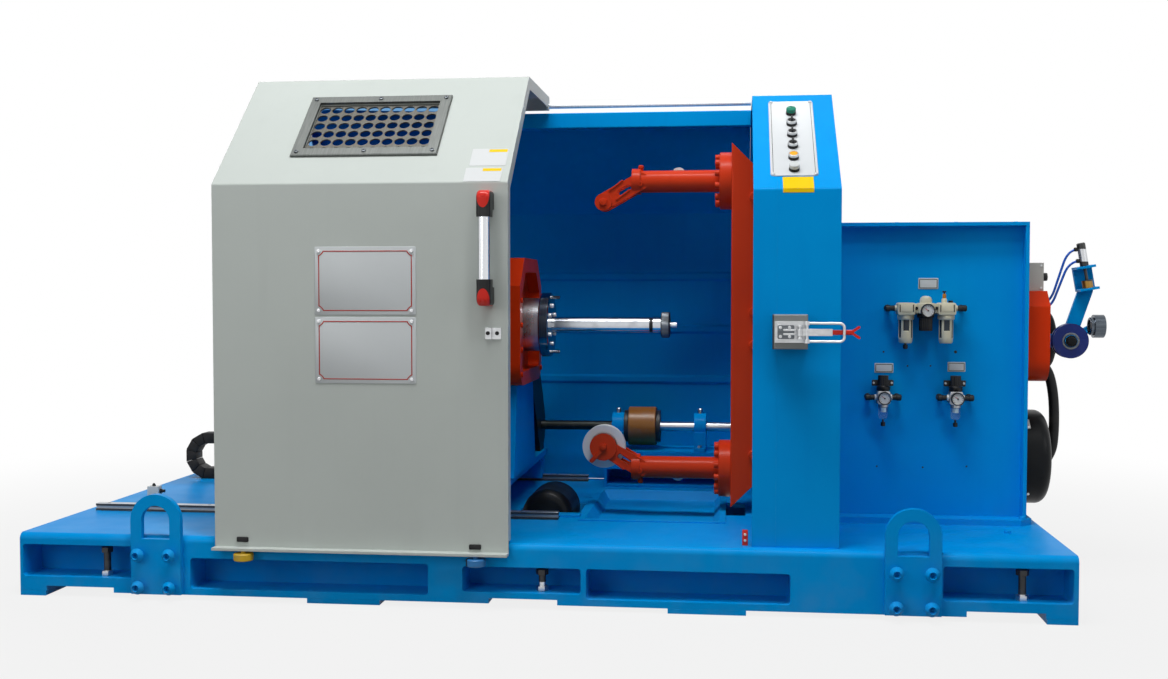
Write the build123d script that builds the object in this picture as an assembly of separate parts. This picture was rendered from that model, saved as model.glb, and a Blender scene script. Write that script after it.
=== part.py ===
"""Single twist stranding machine: bed, sliding hood, bow rotor, take-up carriage and drive end.

Lengths are millimetres. While a piece is built, x runs from the bed's left end to the right,
y from the bed's front face to the back and z up from the floor. The finished pieces are moved
so that the origin lies on the floor under the middle of the machine.
"""
import os
from math import atan2, cos, degrees, hypot, radians, sin

from build123d import *

# Shared allowances
OVERRUN = 5
RUNNING_GAP = 0.3
SEAT_GAP = 0.2

# Bed: two long sills, end sills and a deck
BED_LENGTH = 3200
BED_DEPTH = 1390
AXIS_Y = BED_DEPTH / 2
DECK_TOP = 197
FOOT_HEIGHT = 15
SILL_DEPTH = 130
SILL_BEND = 20
SILL_WEB = 16
DECK_PLATE = 16
END_SILL_WIDTH = 120
NOTCH_RISE = 16
RECESS_CORNER = 10
# Recesses of a sill: start and end along the bed, then bottom and top of the deck height
RECESS_SHARES = (
    (0.003, 0.116, 0.31, 0.82),
    (0.174, 0.408, 0.18, 0.66),
    (0.441, 0.553, 0.25, 0.64),
    (0.558, 0.746, 0.18, 0.64),
    (0.882, 0.996, 0.30, 0.81),
)
NOTCH_SHARES = ((0.027, 0.096), (0.466, 0.531), (0.903, 0.972))
FOOT_SHARES = ((0.0, 0.026), (0.290, 0.361), (0.634, 0.706), (0.973, 1.0))

# Lifting lugs and levelling bolts on the sills
LUG_PLACE_SHARES = (0.142, 0.855)
LUG_WIDTH = 160
LUG_PLATE = 20
LUG_BOTTOM = 18
LUG_TOP = 328
LUG_EYE = 90
LUG_EYE_BOTTOM = 190
LEVEL_PLACE_SHARES = (0.083, 0.515, 0.954)
LEVEL_SHANK = 11
LEVEL_HEAD = 19
LEVEL_HEAD_HEIGHT = 16
LEVEL_HEAD_GAP = 12
LEVEL_INSET = 45
LEVEL_NUT_HEIGHT = 14

# Headstock and rotor stations along the bed, measured from its right end
CABINET_INSET = 925
CABINET_START = BED_LENGTH - CABINET_INSET
CABINET_RIM_DEPTH = 70
CABINET_WALL = CABINET_START + CABINET_RIM_DEPTH
CABINET_DEPTH = 185
CABINET_END = CABINET_WALL + CABINET_DEPTH
BOW_BEAM_WIDTH = 94
BOW_BEAM_INSET = 66
BOW_BEAM_START = CABINET_START - BOW_BEAM_INSET
FORK_REACH = 439
FORK_PIN_X = BOW_BEAM_START - FORK_REACH

# Rotor pit in the deck, traverse motor opening and the raised pad under the drive end
PIT_REACH = 42
PIT_START = FORK_PIN_X - PIT_REACH
PIT_LENGTH = 450
PIT_FORWARD = 268
PIT_FRONT = AXIS_Y - PIT_FORWARD
PIT_WIDTH = 640
PIT_SINK = 34
PIT_SLOPE = 24
PIT_RIM = 16
PIT_SHEET = 4
BEAM_SLOT_LENGTH = 66
BEAM_SLOT_WIDTH = 250
MOTOR_HOLE_REACH = 280
MOTOR_HOLE_START = FORK_PIN_X - MOTOR_HOLE_REACH
MOTOR_HOLE_LENGTH = 210
MOTOR_HOLE_FORWARD = 205
MOTOR_HOLE_FRONT = AXIS_Y - MOTOR_HOLE_FORWARD
MOTOR_HOLE_WIDTH = 260
PAD_HEIGHT = 20
PAD_FORWARD = 225
PAD_FRONT = AXIS_Y - PAD_FORWARD
PAD_INSET = 22
PAD_END = BED_LENGTH - PAD_INSET
PAD_CORNER = 40

# Main axis of rotor, take-up spindle and inlet: the beam's sweep fits between deck and headstock top
CABINET_TOP = 1589
BOW_HEADROOM = 138
BOW_FLOOR_GAP = 22
BOW_BEAM_REACH = (CABINET_TOP - BOW_HEADROOM - DECK_TOP - BOW_FLOOR_GAP) / 2
AXIS_Z = DECK_TOP + BOW_FLOOR_GAP + BOW_BEAM_REACH

# Carriage rails and the fixed chain of the carriage cables
RAIL_WIDTH = 30
RAIL_HEIGHT = 25
RAIL_START = 38
FRONT_RAIL_FORWARD = 265
FRONT_RAIL_Y = AXIS_Y - FRONT_RAIL_FORWARD
REAR_RAIL_INSET = 90
REAR_RAIL_Y = BED_DEPTH - REAR_RAIL_INSET
RAIL_REACH = 125
RAIL_END = FORK_PIN_X - RAIL_REACH
CHAIN_INSET = 205
CHAIN_Y = BED_DEPTH - CHAIN_INSET
CHAIN_WIDTH = 64
CHAIN_HEIGHT = 42
CHAIN_BEND = 50
CHAIN_LEFT = 26
CHAIN_LOWER_RUN = 420
CHAIN_UPPER_RUN = 760
CHAIN_LINK = 46
CHAIN_GROOVE = 5
CHAIN_GROOVE_DEPTH = 7

# Traverse motor lying in the bed
TRAVERSE_MOTOR_RADIUS = 88
TRAVERSE_MOTOR_REACH = 178
TRAVERSE_MOTOR_X = FORK_PIN_X - TRAVERSE_MOTOR_REACH
TRAVERSE_MOTOR_Z = 190
TRAVERSE_MOTOR_FORWARD = 175
TRAVERSE_MOTOR_FRONT = AXIS_Y - TRAVERSE_MOTOR_FORWARD
TRAVERSE_MOTOR_LENGTH = 215
TRAVERSE_MOTOR_ROUND = 34
TRAVERSE_MOTOR_CRADLE = 30

# Top rod that carries the hood, its beam and the rear cover
HOOD_ROOF_PAST_AXIS = 155
HOOD_ROOF_END = AXIS_Y + HOOD_ROOF_PAST_AXIS
ROD_RADIUS = 10
ROD_BEHIND = 24
ROD_Y = HOOD_ROOF_END + ROD_BEHIND
ROD_BRACKET = 22
BEAM_PROUD = 5
BEAM_TOP = CABINET_TOP + BEAM_PROUD
ROD_RISE = 27
ROD_Z = BEAM_TOP + ROD_RISE
BEAM_HEIGHT = 55
BEAM_DEPTH = 50
BEAM_BEHIND = 14
BEAM_FRONT = HOOD_ROOF_END + BEAM_BEHIND
COVER_START = 628
COVER_SHEET = 4
COVER_BEND = 10
COVER_INSET = 5
COVER_DROP = 332
COVER_TOP_WIDTH = 76
COVER_RETURN = 45
COVER_RIB_HEIGHTS = (600, 800, 1010)
COVER_RIB = 9

# Sliding hood of folded sheet
HOOD_START = 644
HOOD_LENGTH = 911
HOOD_STANDOFF = 15
HOOD_BOTTOM = 172
HOOD_ABOVE_ROD = 28
HOOD_RIDGE = ROD_Z + HOOD_ABOVE_ROD
HOOD_DROP = 373
HOOD_FOLD = HOOD_RIDGE - HOOD_DROP
HOOD_SLOPE_RUN = 405
HOOD_LIP = 48
HOOD_SHEET = 4
HOOD_BEND = 9
HOOD_RETURN = 40
HOOD_SKIRT = 30
HOOD_SKIRT_SHEET = 8
HOOD_DECK_GAP = 8
WINDOW_START = 214
WINDOW_LENGTH = 462
WINDOW_HEIGHT = 312
WINDOW_RISE = 131
WINDOW_BORDER = 34
WINDOW_FRAME_THICK = 9
WINDOW_PANE = 5
WINDOW_HOLE = 34
WINDOW_HOLE_ROWS = 6
WINDOW_ROW_PITCH = 43
WINDOW_FIRST_ROW = 26
WINDOW_HOLE_COLUMNS = 10
HANDLE_INSET = 62
HANDLE_BOTTOM = 909
HANDLE_TOP = 1248
HANDLE_TUBE = 18
HANDLE_WALL = 3
HANDLE_STANDOFF = 48
HANDLE_END_WIDTH = 42
HANDLE_END_ROUND = 11
HANDLE_END_HEIGHT = 78
CATCH_INSET = 20
CATCH_WIDTH = 48
CATCH_BOTTOM_DROP = 25
CATCH_BOTTOM = AXIS_Z - CATCH_BOTTOM_DROP
CATCH_HEIGHT = 34
CATCH_THICK = 12
ROLLER_RADIUS = 30
ROLLER_HEIGHT = 22
ROLLER_DROP = 8
ROLLER_PIN = 8
ROLLER_INSETS = (96, 815)
RUNNER_INSETS = (180, 700)
RUNNER_LENGTH = 70
RUNNER_HEIGHT = 38
RUNNER_DEPTH = 42

# Headstock cabinet with a deep rim round the rotor beam
CABINET_FRONT = 38
CABINET_DROP = 337
CABINET_FOLD = CABINET_TOP - CABINET_DROP
CABINET_SLOPE_RUN = 450
CABINET_RIM = 6
CONTROL_PLATE_WIDTH = 140
CONTROL_PLATE_HEIGHT = 405
CONTROL_PLATE_THICK = 3
CONTROL_PLATE_INSET = 51
CONTROL_PLATE_START = CABINET_START + CONTROL_PLATE_INSET
CONTROL_PLATE_RISE = 44
BUTTON_RADIUS = 15
BUTTON_COLLAR = 8
BUTTON_CAP_RADIUS = 11
BUTTON_CAP = 8
BUTTON_PITCH = 56
BUTTON_KINDS = ("push", "selector", "selector", "selector", "push", "push")
SELECTOR_WING = 7

# Toggle latch on the cabinet front
LATCH_BLOCK_INSET = 57
LATCH_BLOCK_START = CABINET_START + LATCH_BLOCK_INSET
LATCH_BLOCK_WIDTH = 100
LATCH_BLOCK_BOTTOM_DROP = 50
LATCH_BLOCK_BOTTOM = AXIS_Z - LATCH_BLOCK_BOTTOM_DROP
LATCH_BLOCK_HEIGHT = 100
LATCH_BLOCK_PROUD = 60
LATCH_BASE_THICK = 5
LATCH_BASE_SHARE = 0.62
LATCH_PIVOT_INSET = 24
LATCH_PIVOT_PROUD = 22
LATCH_PIN = 4
LATCH_EAR = 5
LATCH_EAR_HEIGHT = 30
LEVER_WIDTH = 20
LEVER_THICK = 6
LEVER_LENGTH = 92
GRIP_LENGTH = 74
GRIP_THICK = 14
GRIP_FORK = 30
LOOP_WIRE = 4
LOOP_WIDTH = 52
LOOP_LENGTH = 104
LOOP_PIVOT = 20
LOOP_EYE = 11

# Drive end: panels, bearing stand, motor, belt guard and switch box
PANEL_FORWARD = 155
PANEL_FRONT = AXIS_Y - PANEL_FORWARD
PANEL_FLANGE = 40
PANEL_TOP_RISE = 340
PANEL_TOP = AXIS_Z + PANEL_TOP_RISE
PANEL_SHEET = 4
PANEL_LENGTH = 630
DRIVE_BEHIND = 240
DRIVE_BACK = AXIS_Y + DRIVE_BEHIND
STAND_INSET = 460
STAND_START = CABINET_END + STAND_INSET
STAND_THICK = 70
STAND_LEG = 26
STAND_TOP_RISE = 140
STAND_TOP = AXIS_Z + STAND_TOP_RISE
STAND_BRIDGE_BOTTOM_DROP = 195
STAND_BRIDGE_BOTTOM = AXIS_Z - STAND_BRIDGE_BOTTOM_DROP
MOTOR_RADIUS = 158
MOTOR_Z = 392
MOTOR_BEHIND = 40
MOTOR_Y = AXIS_Y + MOTOR_BEHIND
MOTOR_INSET = 110
MOTOR_START = CABINET_END + MOTOR_INSET
MOTOR_LENGTH = 622
MOTOR_ROUND = 34
MOTOR_RIBS = 18
MOTOR_RIB = 6
MOTOR_RIB_HEIGHT = 10
MOTOR_COWL = 150
MOTOR_FOOT_WIDTH = 60
GUARD_LENGTH = 180
GUARD_END = STAND_START + STAND_THICK + GUARD_LENGTH
GUARD_HALF_WIDTH = 140
GUARD_BOTTOM_DROP = 180
GUARD_BOTTOM = AXIS_Z - GUARD_BOTTOM_DROP
GUARD_TOP_RISE = 118
GUARD_TOP = AXIS_Z + GUARD_TOP_RISE
GUARD_CHAMFER = 50
GUARD_ROUND = 70
SWITCH_BOX_LENGTH = 84
SWITCH_BOX_DEPTH = 120
SWITCH_BOX_HEIGHT = 93
SWITCH_BOX_ROUND = 6
SWITCH_BOX_BACK = 4
SWITCH_BOX_END = GUARD_END - SWITCH_BOX_BACK
SWITCH_KNOB = 13
SWITCH_KNOB_LENGTH = 18

# Conduits from the belt guard to the motor, and the air tubes of the press cylinder
CONDUIT_RADIUS = 17
CONDUIT_OUT = 56
CONDUIT_BEND = 29
MOTOR_CONDUIT_DROP = 120
MOTOR_CONDUIT_SINK = 30
MOTOR_CONDUIT_BEHIND = 62
GUARD_CONDUIT_RISE = 50
GUARD_CONDUIT_DROP = 150
GUARD_CONDUIT_BEHIND = 106
TUBE_RADIUS = 4
TUBE_BEND = 20
TUBE_OUT = 30
TUBE_DROPS = (60, 42)
TUBE_HEIGHT_SHARES = (0.25, 0.75)

# Inlet: wheel, bracket, guide tube and press cylinder
WHEEL_REACH = 95
WHEEL_X = GUARD_END + WHEEL_REACH
WHEEL_RADIUS = 58
WHEEL_GROOVE = 9
WHEEL_WIDTH = 34
WHEEL_BORE = 14
WHEEL_PIN_HEAD = 20
WHEEL_PIN_HEAD_THICK = 6
ARM_PLATE = 14
ARM_WIDTH = 46
ARM_GAP = 6
BRACKET_FOOT = 12
PRESS_REACH = 56
PRESS_X = WHEEL_X + PRESS_REACH
PRESS_BOTTOM_RISE = 120
PRESS_BOTTOM = AXIS_Z + PRESS_BOTTOM_RISE
PRESS_GAP = 66
PRESS_LENGTH = 62
PRESS_DEPTH = 70
PRESS_PLATE = 8
PRESS_LEAN = 10
PRESS_CYLINDER = 14
PRESS_CYLINDER_LENGTH = 78
PRESS_ROD = 5
PRESS_PAD = 17
PRESS_PAD_THICK = 26
INLET_RADIUS = 30
INLET_WALL = 8
INLET_REACH = 62
INLET_START = WHEEL_X + INLET_REACH
INLET_LENGTH = 48
INLET_RING = 8

# Air service unit and two small regulators on the panel
AIR_UNIT_INSET = 306
AIR_UNIT_X = CABINET_END + AIR_UNIT_INSET
AIR_UNIT_Z_RISE = 49
AIR_UNIT_Z = AXIS_Z + AIR_UNIT_Z_RISE
AIR_BODY_WIDTH = 56
AIR_BODY_HEIGHT = 62
AIR_BODY_DEPTH = 58
AIR_BODY_ROUND = 8
AIR_SPACER = 8
AIR_BACK = 14
AIR_BOWL_RADIUS = 22
AIR_BOWL_LENGTH = 74
AIR_KNOB_RADIUS = 22
AIR_KNOB_LENGTH = 40
AIR_DOME_RADIUS = 14
AIR_DOME_LENGTH = 26
AIR_ELBOW_RADIUS = 11
AIR_ELBOW_LENGTH = 34
GAUGE_RADIUS = 21
GAUGE_DEPTH = 24
GAUGE_STEM = 7
SMALL_REGULATOR_INSETS = (174, 404)
SMALL_REGULATOR_Z_DROP = 229
SMALL_REGULATOR_Z = AXIS_Z - SMALL_REGULATOR_Z_DROP
SMALL_BODY_WIDTH = 42
SMALL_BODY_HEIGHT = 56
SMALL_KNOB_RADIUS = 17
SMALL_KNOB_LENGTH = 44
SMALL_BOWL_RADIUS = 16
SMALL_BOWL_LENGTH = 56

# Bow rotor
BOW_BEAM_DEPTH = 200
BOW_BEAM_EDGE = 6
BOW_ARM_INSET = 121
BOW_RADIUS = BOW_BEAM_REACH - BOW_ARM_INSET
BOW_FLANGE_RADIUS = 97.5
BOW_FLANGE_THICK = 41
BOW_TUBE_RADIUS = 38
BOW_TUBE_LENGTH = 301
BOW_COLLAR_RADIUS = 45
BOW_COLLAR_LENGTH = 30
FORK_LEAN = 71
FORK_PIN_RADIUS = BOW_RADIUS - FORK_LEAN
FORK_CHEEK = 12
FORK_GAP = 42
FORK_END_RADIUS = 30
FORK_HUB_RADIUS = 47
FORK_PIN = 12
FORK_SLOT = 9
FORK_SLOT_SHARES = (0.46, 0.68)
PULLEY_RADIUS = 74.5
PULLEY_WIDTH = 34
PULLEY_GROOVE = 13
PULLEY_HUB_RADIUS = 26
PULLEY_WEB = 12
SHAFT_RADIUS = 55
SHAFT_BORE = 22
SHAFT_HUB_RADIUS = 120
SHAFT_HUB_GAP = 6

# Take-up carriage, housing and spindle
CARRIAGE_BOTTOM = 300
CARRIAGE_PLATE = 25
CARRIAGE_LENGTH = 480
CARRIAGE_REACH = 294
CARRIAGE_END = FORK_PIN_X - CARRIAGE_REACH
CARRIAGE_OVERHANG = 36
RUNNER_BLOCK = 110
RUNNER_BLOCK_WIDTH = 66
RUNNER_SKIRT = 12
HOUSING_PROUD = 36
HOUSING_END = CARRIAGE_END + HOUSING_PROUD
HOUSING_LENGTH = 270
HOUSING_HALF_WIDTH = 235
HOUSING_BOTTOM_DROP = 202
HOUSING_BOTTOM = AXIS_Z - HOUSING_BOTTOM_DROP
HOUSING_TOP_RISE = 230
HOUSING_TOP = AXIS_Z + HOUSING_TOP_RISE
HOUSING_CHAMFER = 95
HOUSING_ROUND = 70
HOUSING_RIM = 48
HOUSING_RECESS = 40
PEDESTAL_HALF_WIDTH = 170
PEDESTAL_TOE = 60
PEDESTAL_INSET = 22
DRUM_RADIUS = 79
DRIVER_RADIUS = 112
DRIVER_PROUD = 39
DRIVER_START = HOUSING_END + DRIVER_PROUD
DRIVER_THICK = 35
DRIVER_PIN_CIRCLE = 95
DRIVER_PIN = 6
DRIVER_PIN_LENGTH = 28
SPINDLE_RADIUS = 27.5
SPINDLE_LENGTH = 382
SPINDLE_END = DRIVER_START + DRIVER_THICK + SPINDLE_LENGTH
SPINDLE_GROOVE = 3
SPINDLE_GROOVE_LENGTH = 12
SPINDLE_GROOVE_INSET = 28
NUT_RADIUS = 43.5
NUT_LENGTH = 31
STUB_RADIUS = 10
STUB_LENGTH = 23

# Rear transmission: splined shaft, coupling, brackets on a bench, belt case on the carriage
REAR_SHAFT_INSET = 140
REAR_SHAFT_Y = BED_DEPTH - REAR_SHAFT_INSET
REAR_SHAFT_Z = 425
REAR_SHAFT_RADIUS = 18
REAR_SHAFT_LENGTH = 1274
BENCH_LENGTH = 553
BENCH_START = CABINET_START - BENCH_LENGTH
COUPLING_INSET = 88
COUPLING_START = BENCH_START + COUPLING_INSET
COUPLING_LENGTH = 110
COUPLING_RADIUS = 75
COUPLING_FLANGE = 14
COUPLING_FLANGE_RADIUS = 62
BENCH_DEPTH = 230
BENCH_FRONT = BED_DEPTH - BENCH_DEPTH
BENCH_TOP = 335
BENCH_WALL = 10
BRACKET_INSETS = (26, 344)
BRACKET_LENGTH = 46
BRACKET_HALF_WIDTH = 62
BRACKET_CROWN = 52
CASE_INSET = 66
CASE_START = CARRIAGE_END - CASE_INSET
CASE_LENGTH = 56
CASE_RADIUS = 92
CASE_TOP_Z_DROP = 105
CASE_TOP_Z = AXIS_Z - CASE_TOP_Z_DROP

RIGHT_END = INLET_START + INLET_LENGTH
FRONT_END = -(HOOD_STANDOFF + HANDLE_STANDOFF + HANDLE_TUBE + HANDLE_WALL)
BACK_END = BED_DEPTH + LUG_PLATE
PLAN_CENTRE = (RIGHT_END / 2, (FRONT_END + BACK_END) / 2)

CORNER = (Align.MIN, Align.MIN, Align.MIN)
END_ON = (Align.CENTER, Align.CENTER, Align.MIN)


def block(x0, x1, y0, y1, z0, z1):
    """Box between two corners."""
    return Pos(x0, y0, z0) * Box(x1 - x0, y1 - y0, z1 - z0, align=CORNER)


def rod_x(x0, x1, y, z, radius):
    """Round bar along x."""
    return Pos(x0, y, z) * Rot(0, 90, 0) * Cylinder(radius, x1 - x0, align=END_ON)


def rod_y(y0, y1, x, z, radius):
    """Round bar along y."""
    return Pos(x, y0, z) * Rot(-90, 0, 0) * Cylinder(radius, y1 - y0, align=END_ON)


def rod_z(z0, z1, x, y, radius):
    """Upright round bar."""
    return Pos(x, y, z0) * Cylinder(radius, z1 - z0, align=END_ON)


def prism_x(points, x0, x1):
    """Outline of (y, z) points drawn out along x."""
    face = Plane.YZ * make_face(Polyline(*points, close=True))
    return Pos(x0, 0, 0) * extrude(face, amount=x1 - x0)


def prism_y(points, y0, y1):
    """Outline of (x, z) points drawn out along y."""
    face = Plane.XZ * make_face(Polyline(*points, close=True))
    return Pos(0, y1, 0) * extrude(face, amount=y1 - y0)


def folded_sheet(points, bend, sheet, x0, x1):
    """Sheet folded along the (y, z) points, drawn out along x, thick to the right of the line."""
    line = FilletPolyline(*points, radius=bend)
    face = Plane.YZ * make_face(offset(line, sheet, side=Side.RIGHT))
    return Pos(x0, 0, 0) * extrude(face, amount=x1 - x0)


def link_plate(start, end, radius, y0, y1):
    """Round-ended plate between two (x, z) points, standing in y."""
    length = hypot(end[0] - start[0], end[1] - start[1])
    angle = degrees(atan2(end[1] - start[1], end[0] - start[0]))
    face = Plane.XZ * (Pos((start[0] + end[0]) / 2, (start[1] + end[1]) / 2)
                       * Rot(0, 0, angle) * SlotCenterToCenter(length, 2 * radius))
    return Pos(0, y1, 0) * extrude(face, amount=y1 - y0)


def mirrored_rear(shape):
    """The same piece on the bed's back."""
    return mirror(shape, about=Plane.XZ.offset(-AXIS_Y))


def group(shapes):
    """Several separate solids as one piece."""
    return Compound(children=[solid for shape in shapes for solid in shape.solids()])


def sill():
    """Long front sill: bent top edge, recessed bays, cut-outs under the levelling bolts."""
    body = block(0, BED_LENGTH, 0, SILL_DEPTH, FOOT_HEIGHT, DECK_TOP)
    top_edge = body.edges().filter_by(Axis.X).sort_by(lambda edge: edge.center().Y - edge.center().Z)[0]
    body = fillet(top_edge, SILL_BEND)
    for start, end, low, high in RECESS_SHARES:
        bay = block(start * BED_LENGTH, end * BED_LENGTH, -OVERRUN, SILL_DEPTH - SILL_WEB,
                    low * DECK_TOP, high * DECK_TOP)
        body -= fillet(bay.edges().filter_by(Axis.Y), RECESS_CORNER)
    for start, end in NOTCH_SHARES:
        body -= block(start * BED_LENGTH, end * BED_LENGTH, -OVERRUN, SILL_DEPTH + OVERRUN,
                      FOOT_HEIGHT - OVERRUN, FOOT_HEIGHT + NOTCH_RISE)
    for share in LEVEL_PLACE_SHARES:
        body -= rod_z(0, DECK_TOP / 2, share * BED_LENGTH, LEVEL_INSET, LEVEL_SHANK + RUNNING_GAP)
    return body


def end_sill():
    """Channel across the bed's left end, open to the outside."""
    body = block(0, END_SILL_WIDTH, SILL_DEPTH, BED_DEPTH - SILL_DEPTH,
                 FOOT_HEIGHT, DECK_TOP - DECK_PLATE)
    low, high = RECESS_SHARES[0][2] * DECK_TOP, RECESS_SHARES[0][3] * DECK_TOP
    return body - block(-OVERRUN, END_SILL_WIDTH - SILL_WEB, SILL_DEPTH + SILL_WEB,
                        BED_DEPTH - SILL_DEPTH - SILL_WEB, low, high)


def end_sills():
    left = end_sill()
    return group([left, mirror(left, about=Plane.YZ.offset(BED_LENGTH / 2))])


def deck_plate():
    """Deck between the sills with pit and motor openings and the pad of the drive end."""
    deck = block(0, BED_LENGTH, SILL_DEPTH, BED_DEPTH - SILL_DEPTH, DECK_TOP - DECK_PLATE, DECK_TOP)
    deck -= block(PIT_START, PIT_START + PIT_LENGTH, PIT_FRONT, PIT_FRONT + PIT_WIDTH,
                  DECK_TOP - DECK_PLATE - OVERRUN, DECK_TOP + OVERRUN)
    deck -= block(MOTOR_HOLE_START, MOTOR_HOLE_START + MOTOR_HOLE_LENGTH, MOTOR_HOLE_FRONT,
                  MOTOR_HOLE_FRONT + MOTOR_HOLE_WIDTH,
                  DECK_TOP - DECK_PLATE - OVERRUN, DECK_TOP + OVERRUN)
    slot_start = PIT_START + PIT_LENGTH + PIT_RIM
    deck -= block(slot_start, slot_start + BEAM_SLOT_LENGTH, AXIS_Y - BEAM_SLOT_WIDTH / 2,
                  AXIS_Y + BEAM_SLOT_WIDTH / 2, DECK_TOP - DECK_PLATE - OVERRUN, DECK_TOP + OVERRUN)
    pad = block(CABINET_END, PAD_END, PAD_FRONT, BED_DEPTH - PAD_FRONT, DECK_TOP, DECK_TOP + PAD_HEIGHT)
    corners = pad.edges().filter_by(Axis.Z).sort_by(Axis.X)[-2:]
    return deck + chamfer(corners, PAD_CORNER)


def pit_tray():
    """Shallow tray with sloping sides, hung by its rim in the deck opening."""
    def tapered(inset, top, depth):
        upper = Pos(0, 0, top) * Rectangle(PIT_LENGTH - 2 * inset, PIT_WIDTH - 2 * inset)
        lower = Pos(0, 0, top - depth) * Rectangle(PIT_LENGTH - 2 * inset - 2 * PIT_SLOPE,
                                                   PIT_WIDTH - 2 * inset - 2 * PIT_SLOPE)
        return loft([upper, lower])
    rim = Pos(0, 0, DECK_TOP + SEAT_GAP) * Box(PIT_LENGTH + 2 * PIT_RIM, PIT_WIDTH + 2 * PIT_RIM,
                                               PIT_SHEET, align=END_ON)
    top = DECK_TOP + SEAT_GAP + PIT_SHEET
    body = rim + tapered(SEAT_GAP, DECK_TOP + SEAT_GAP, PIT_SINK)
    body -= tapered(SEAT_GAP + PIT_SHEET, top, PIT_SINK)
    return Pos(PIT_START + PIT_LENGTH / 2, PIT_FRONT + PIT_WIDTH / 2, 0) * body


def foot_pads():
    """Machined pads under both sills."""
    pads = []
    for start, end in FOOT_SHARES:
        pad = block(start * BED_LENGTH, end * BED_LENGTH, 0, SILL_DEPTH, 0, FOOT_HEIGHT)
        pads += [pad, mirrored_rear(pad)]
    return group(pads)


def lifting_lug(x):
    """Arched plate with a round-topped eye, standing on the sill's front face."""
    radius = LUG_WIDTH / 2
    lug = block(x - radius, x + radius, -LUG_PLATE, 0, LUG_BOTTOM, LUG_TOP - radius)
    lug += rod_y(-LUG_PLATE, 0, x, LUG_TOP - radius, radius)
    eye = LUG_EYE / 2
    lug -= block(x - eye, x + eye, -LUG_PLATE - OVERRUN, OVERRUN, LUG_EYE_BOTTOM, LUG_TOP - radius)
    return lug - rod_y(-LUG_PLATE - OVERRUN, OVERRUN, x, LUG_TOP - radius, eye)


def lifting_lugs():
    lugs = [lifting_lug(share * BED_LENGTH) for share in LUG_PLACE_SHARES]
    return group(lugs + [mirrored_rear(lug) for lug in lugs])


def levelling_bolt(share):
    """Hexagon-headed jack bolt with its lock nut, in the recess of the sill that it stands in."""
    x = share * BED_LENGTH
    recess = [bay for bay in RECESS_SHARES if bay[0] < share < bay[1]][0]
    floor_z = recess[2] * DECK_TOP
    head_z = recess[3] * DECK_TOP - LEVEL_HEAD_GAP - LEVEL_HEAD_HEIGHT
    shank = rod_z(FOOT_HEIGHT + NOTCH_RISE, head_z, x, LEVEL_INSET, LEVEL_SHANK)
    head = Pos(x, LEVEL_INSET, head_z) * extrude(RegularPolygon(LEVEL_HEAD, 6), LEVEL_HEAD_HEIGHT)
    nut = Pos(x, LEVEL_INSET, floor_z + SEAT_GAP) * extrude(RegularPolygon(LEVEL_HEAD, 6), LEVEL_NUT_HEIGHT)
    return shank + head + nut


def levelling_bolts():
    bolts = [levelling_bolt(share) for share in LEVEL_PLACE_SHARES]
    return group(bolts + [mirrored_rear(bolt) for bolt in bolts])


def carriage_rails():
    """Two guide rails with a waist below the head."""
    def rail(y):
        half = RAIL_WIDTH / 2
        waist = half * 2 / 3
        low = DECK_TOP + RAIL_HEIGHT / 3
        high = DECK_TOP + RAIL_HEIGHT * 2 / 3
        top = DECK_TOP + RAIL_HEIGHT
        side = [(half, DECK_TOP), (half, low), (waist, low), (waist, high), (half, high), (half, top)]
        right = [(y + offset_y, z) for offset_y, z in side]
        left = [(y - offset_y, z) for offset_y, z in reversed(side)]
        return prism_x(right + left, RAIL_START, RAIL_END)
    return group([rail(FRONT_RAIL_Y), rail(REAR_RAIL_Y)])


def energy_chain():
    """Cable chain folded back over its bend, grooved between the links."""
    centre_x = CHAIN_LEFT + CHAIN_BEND + CHAIN_HEIGHT
    low = DECK_TOP
    centre_z = low + CHAIN_HEIGHT + CHAIN_BEND
    outer = CHAIN_BEND + CHAIN_HEIGHT
    y1 = CHAIN_Y + CHAIN_WIDTH
    ring = rod_y(CHAIN_Y, y1, centre_x, centre_z, outer)
    ring -= rod_y(CHAIN_Y - OVERRUN, y1 + OVERRUN, centre_x, centre_z, CHAIN_BEND)
    ring -= block(centre_x, centre_x + outer + OVERRUN, CHAIN_Y - OVERRUN, y1 + OVERRUN,
                  low - OVERRUN, centre_z + outer + OVERRUN)
    high = centre_z + CHAIN_BEND
    lower = block(centre_x, centre_x + CHAIN_LOWER_RUN, CHAIN_Y, y1, low, low + CHAIN_HEIGHT)
    upper = block(centre_x, centre_x + CHAIN_UPPER_RUN, CHAIN_Y, y1, high, high + CHAIN_HEIGHT)
    chain = ring + lower + upper
    grooves = []
    for step in range(int(CHAIN_UPPER_RUN / CHAIN_LINK)):
        x = centre_x + (step + 1 / 2) * CHAIN_LINK
        grooves.append(block(x, x + CHAIN_GROOVE, CHAIN_Y - OVERRUN, y1 + OVERRUN,
                             high + CHAIN_HEIGHT - CHAIN_GROOVE_DEPTH, high + CHAIN_HEIGHT + OVERRUN))
    turns = int(outer * radians(180) / CHAIN_LINK)
    for step in range(turns):
        angle = 90 + (step + 1 / 2) * 180 / turns
        groove = block(outer - CHAIN_GROOVE_DEPTH, outer + OVERRUN, CHAIN_Y - OVERRUN, y1 + OVERRUN,
                       -CHAIN_GROOVE / 2, CHAIN_GROOVE / 2)
        grooves.append(Pos(centre_x, 0, centre_z) * Rot(0, -angle, 0) * groove)
    for groove in grooves:
        chain -= groove
    return chain


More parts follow.
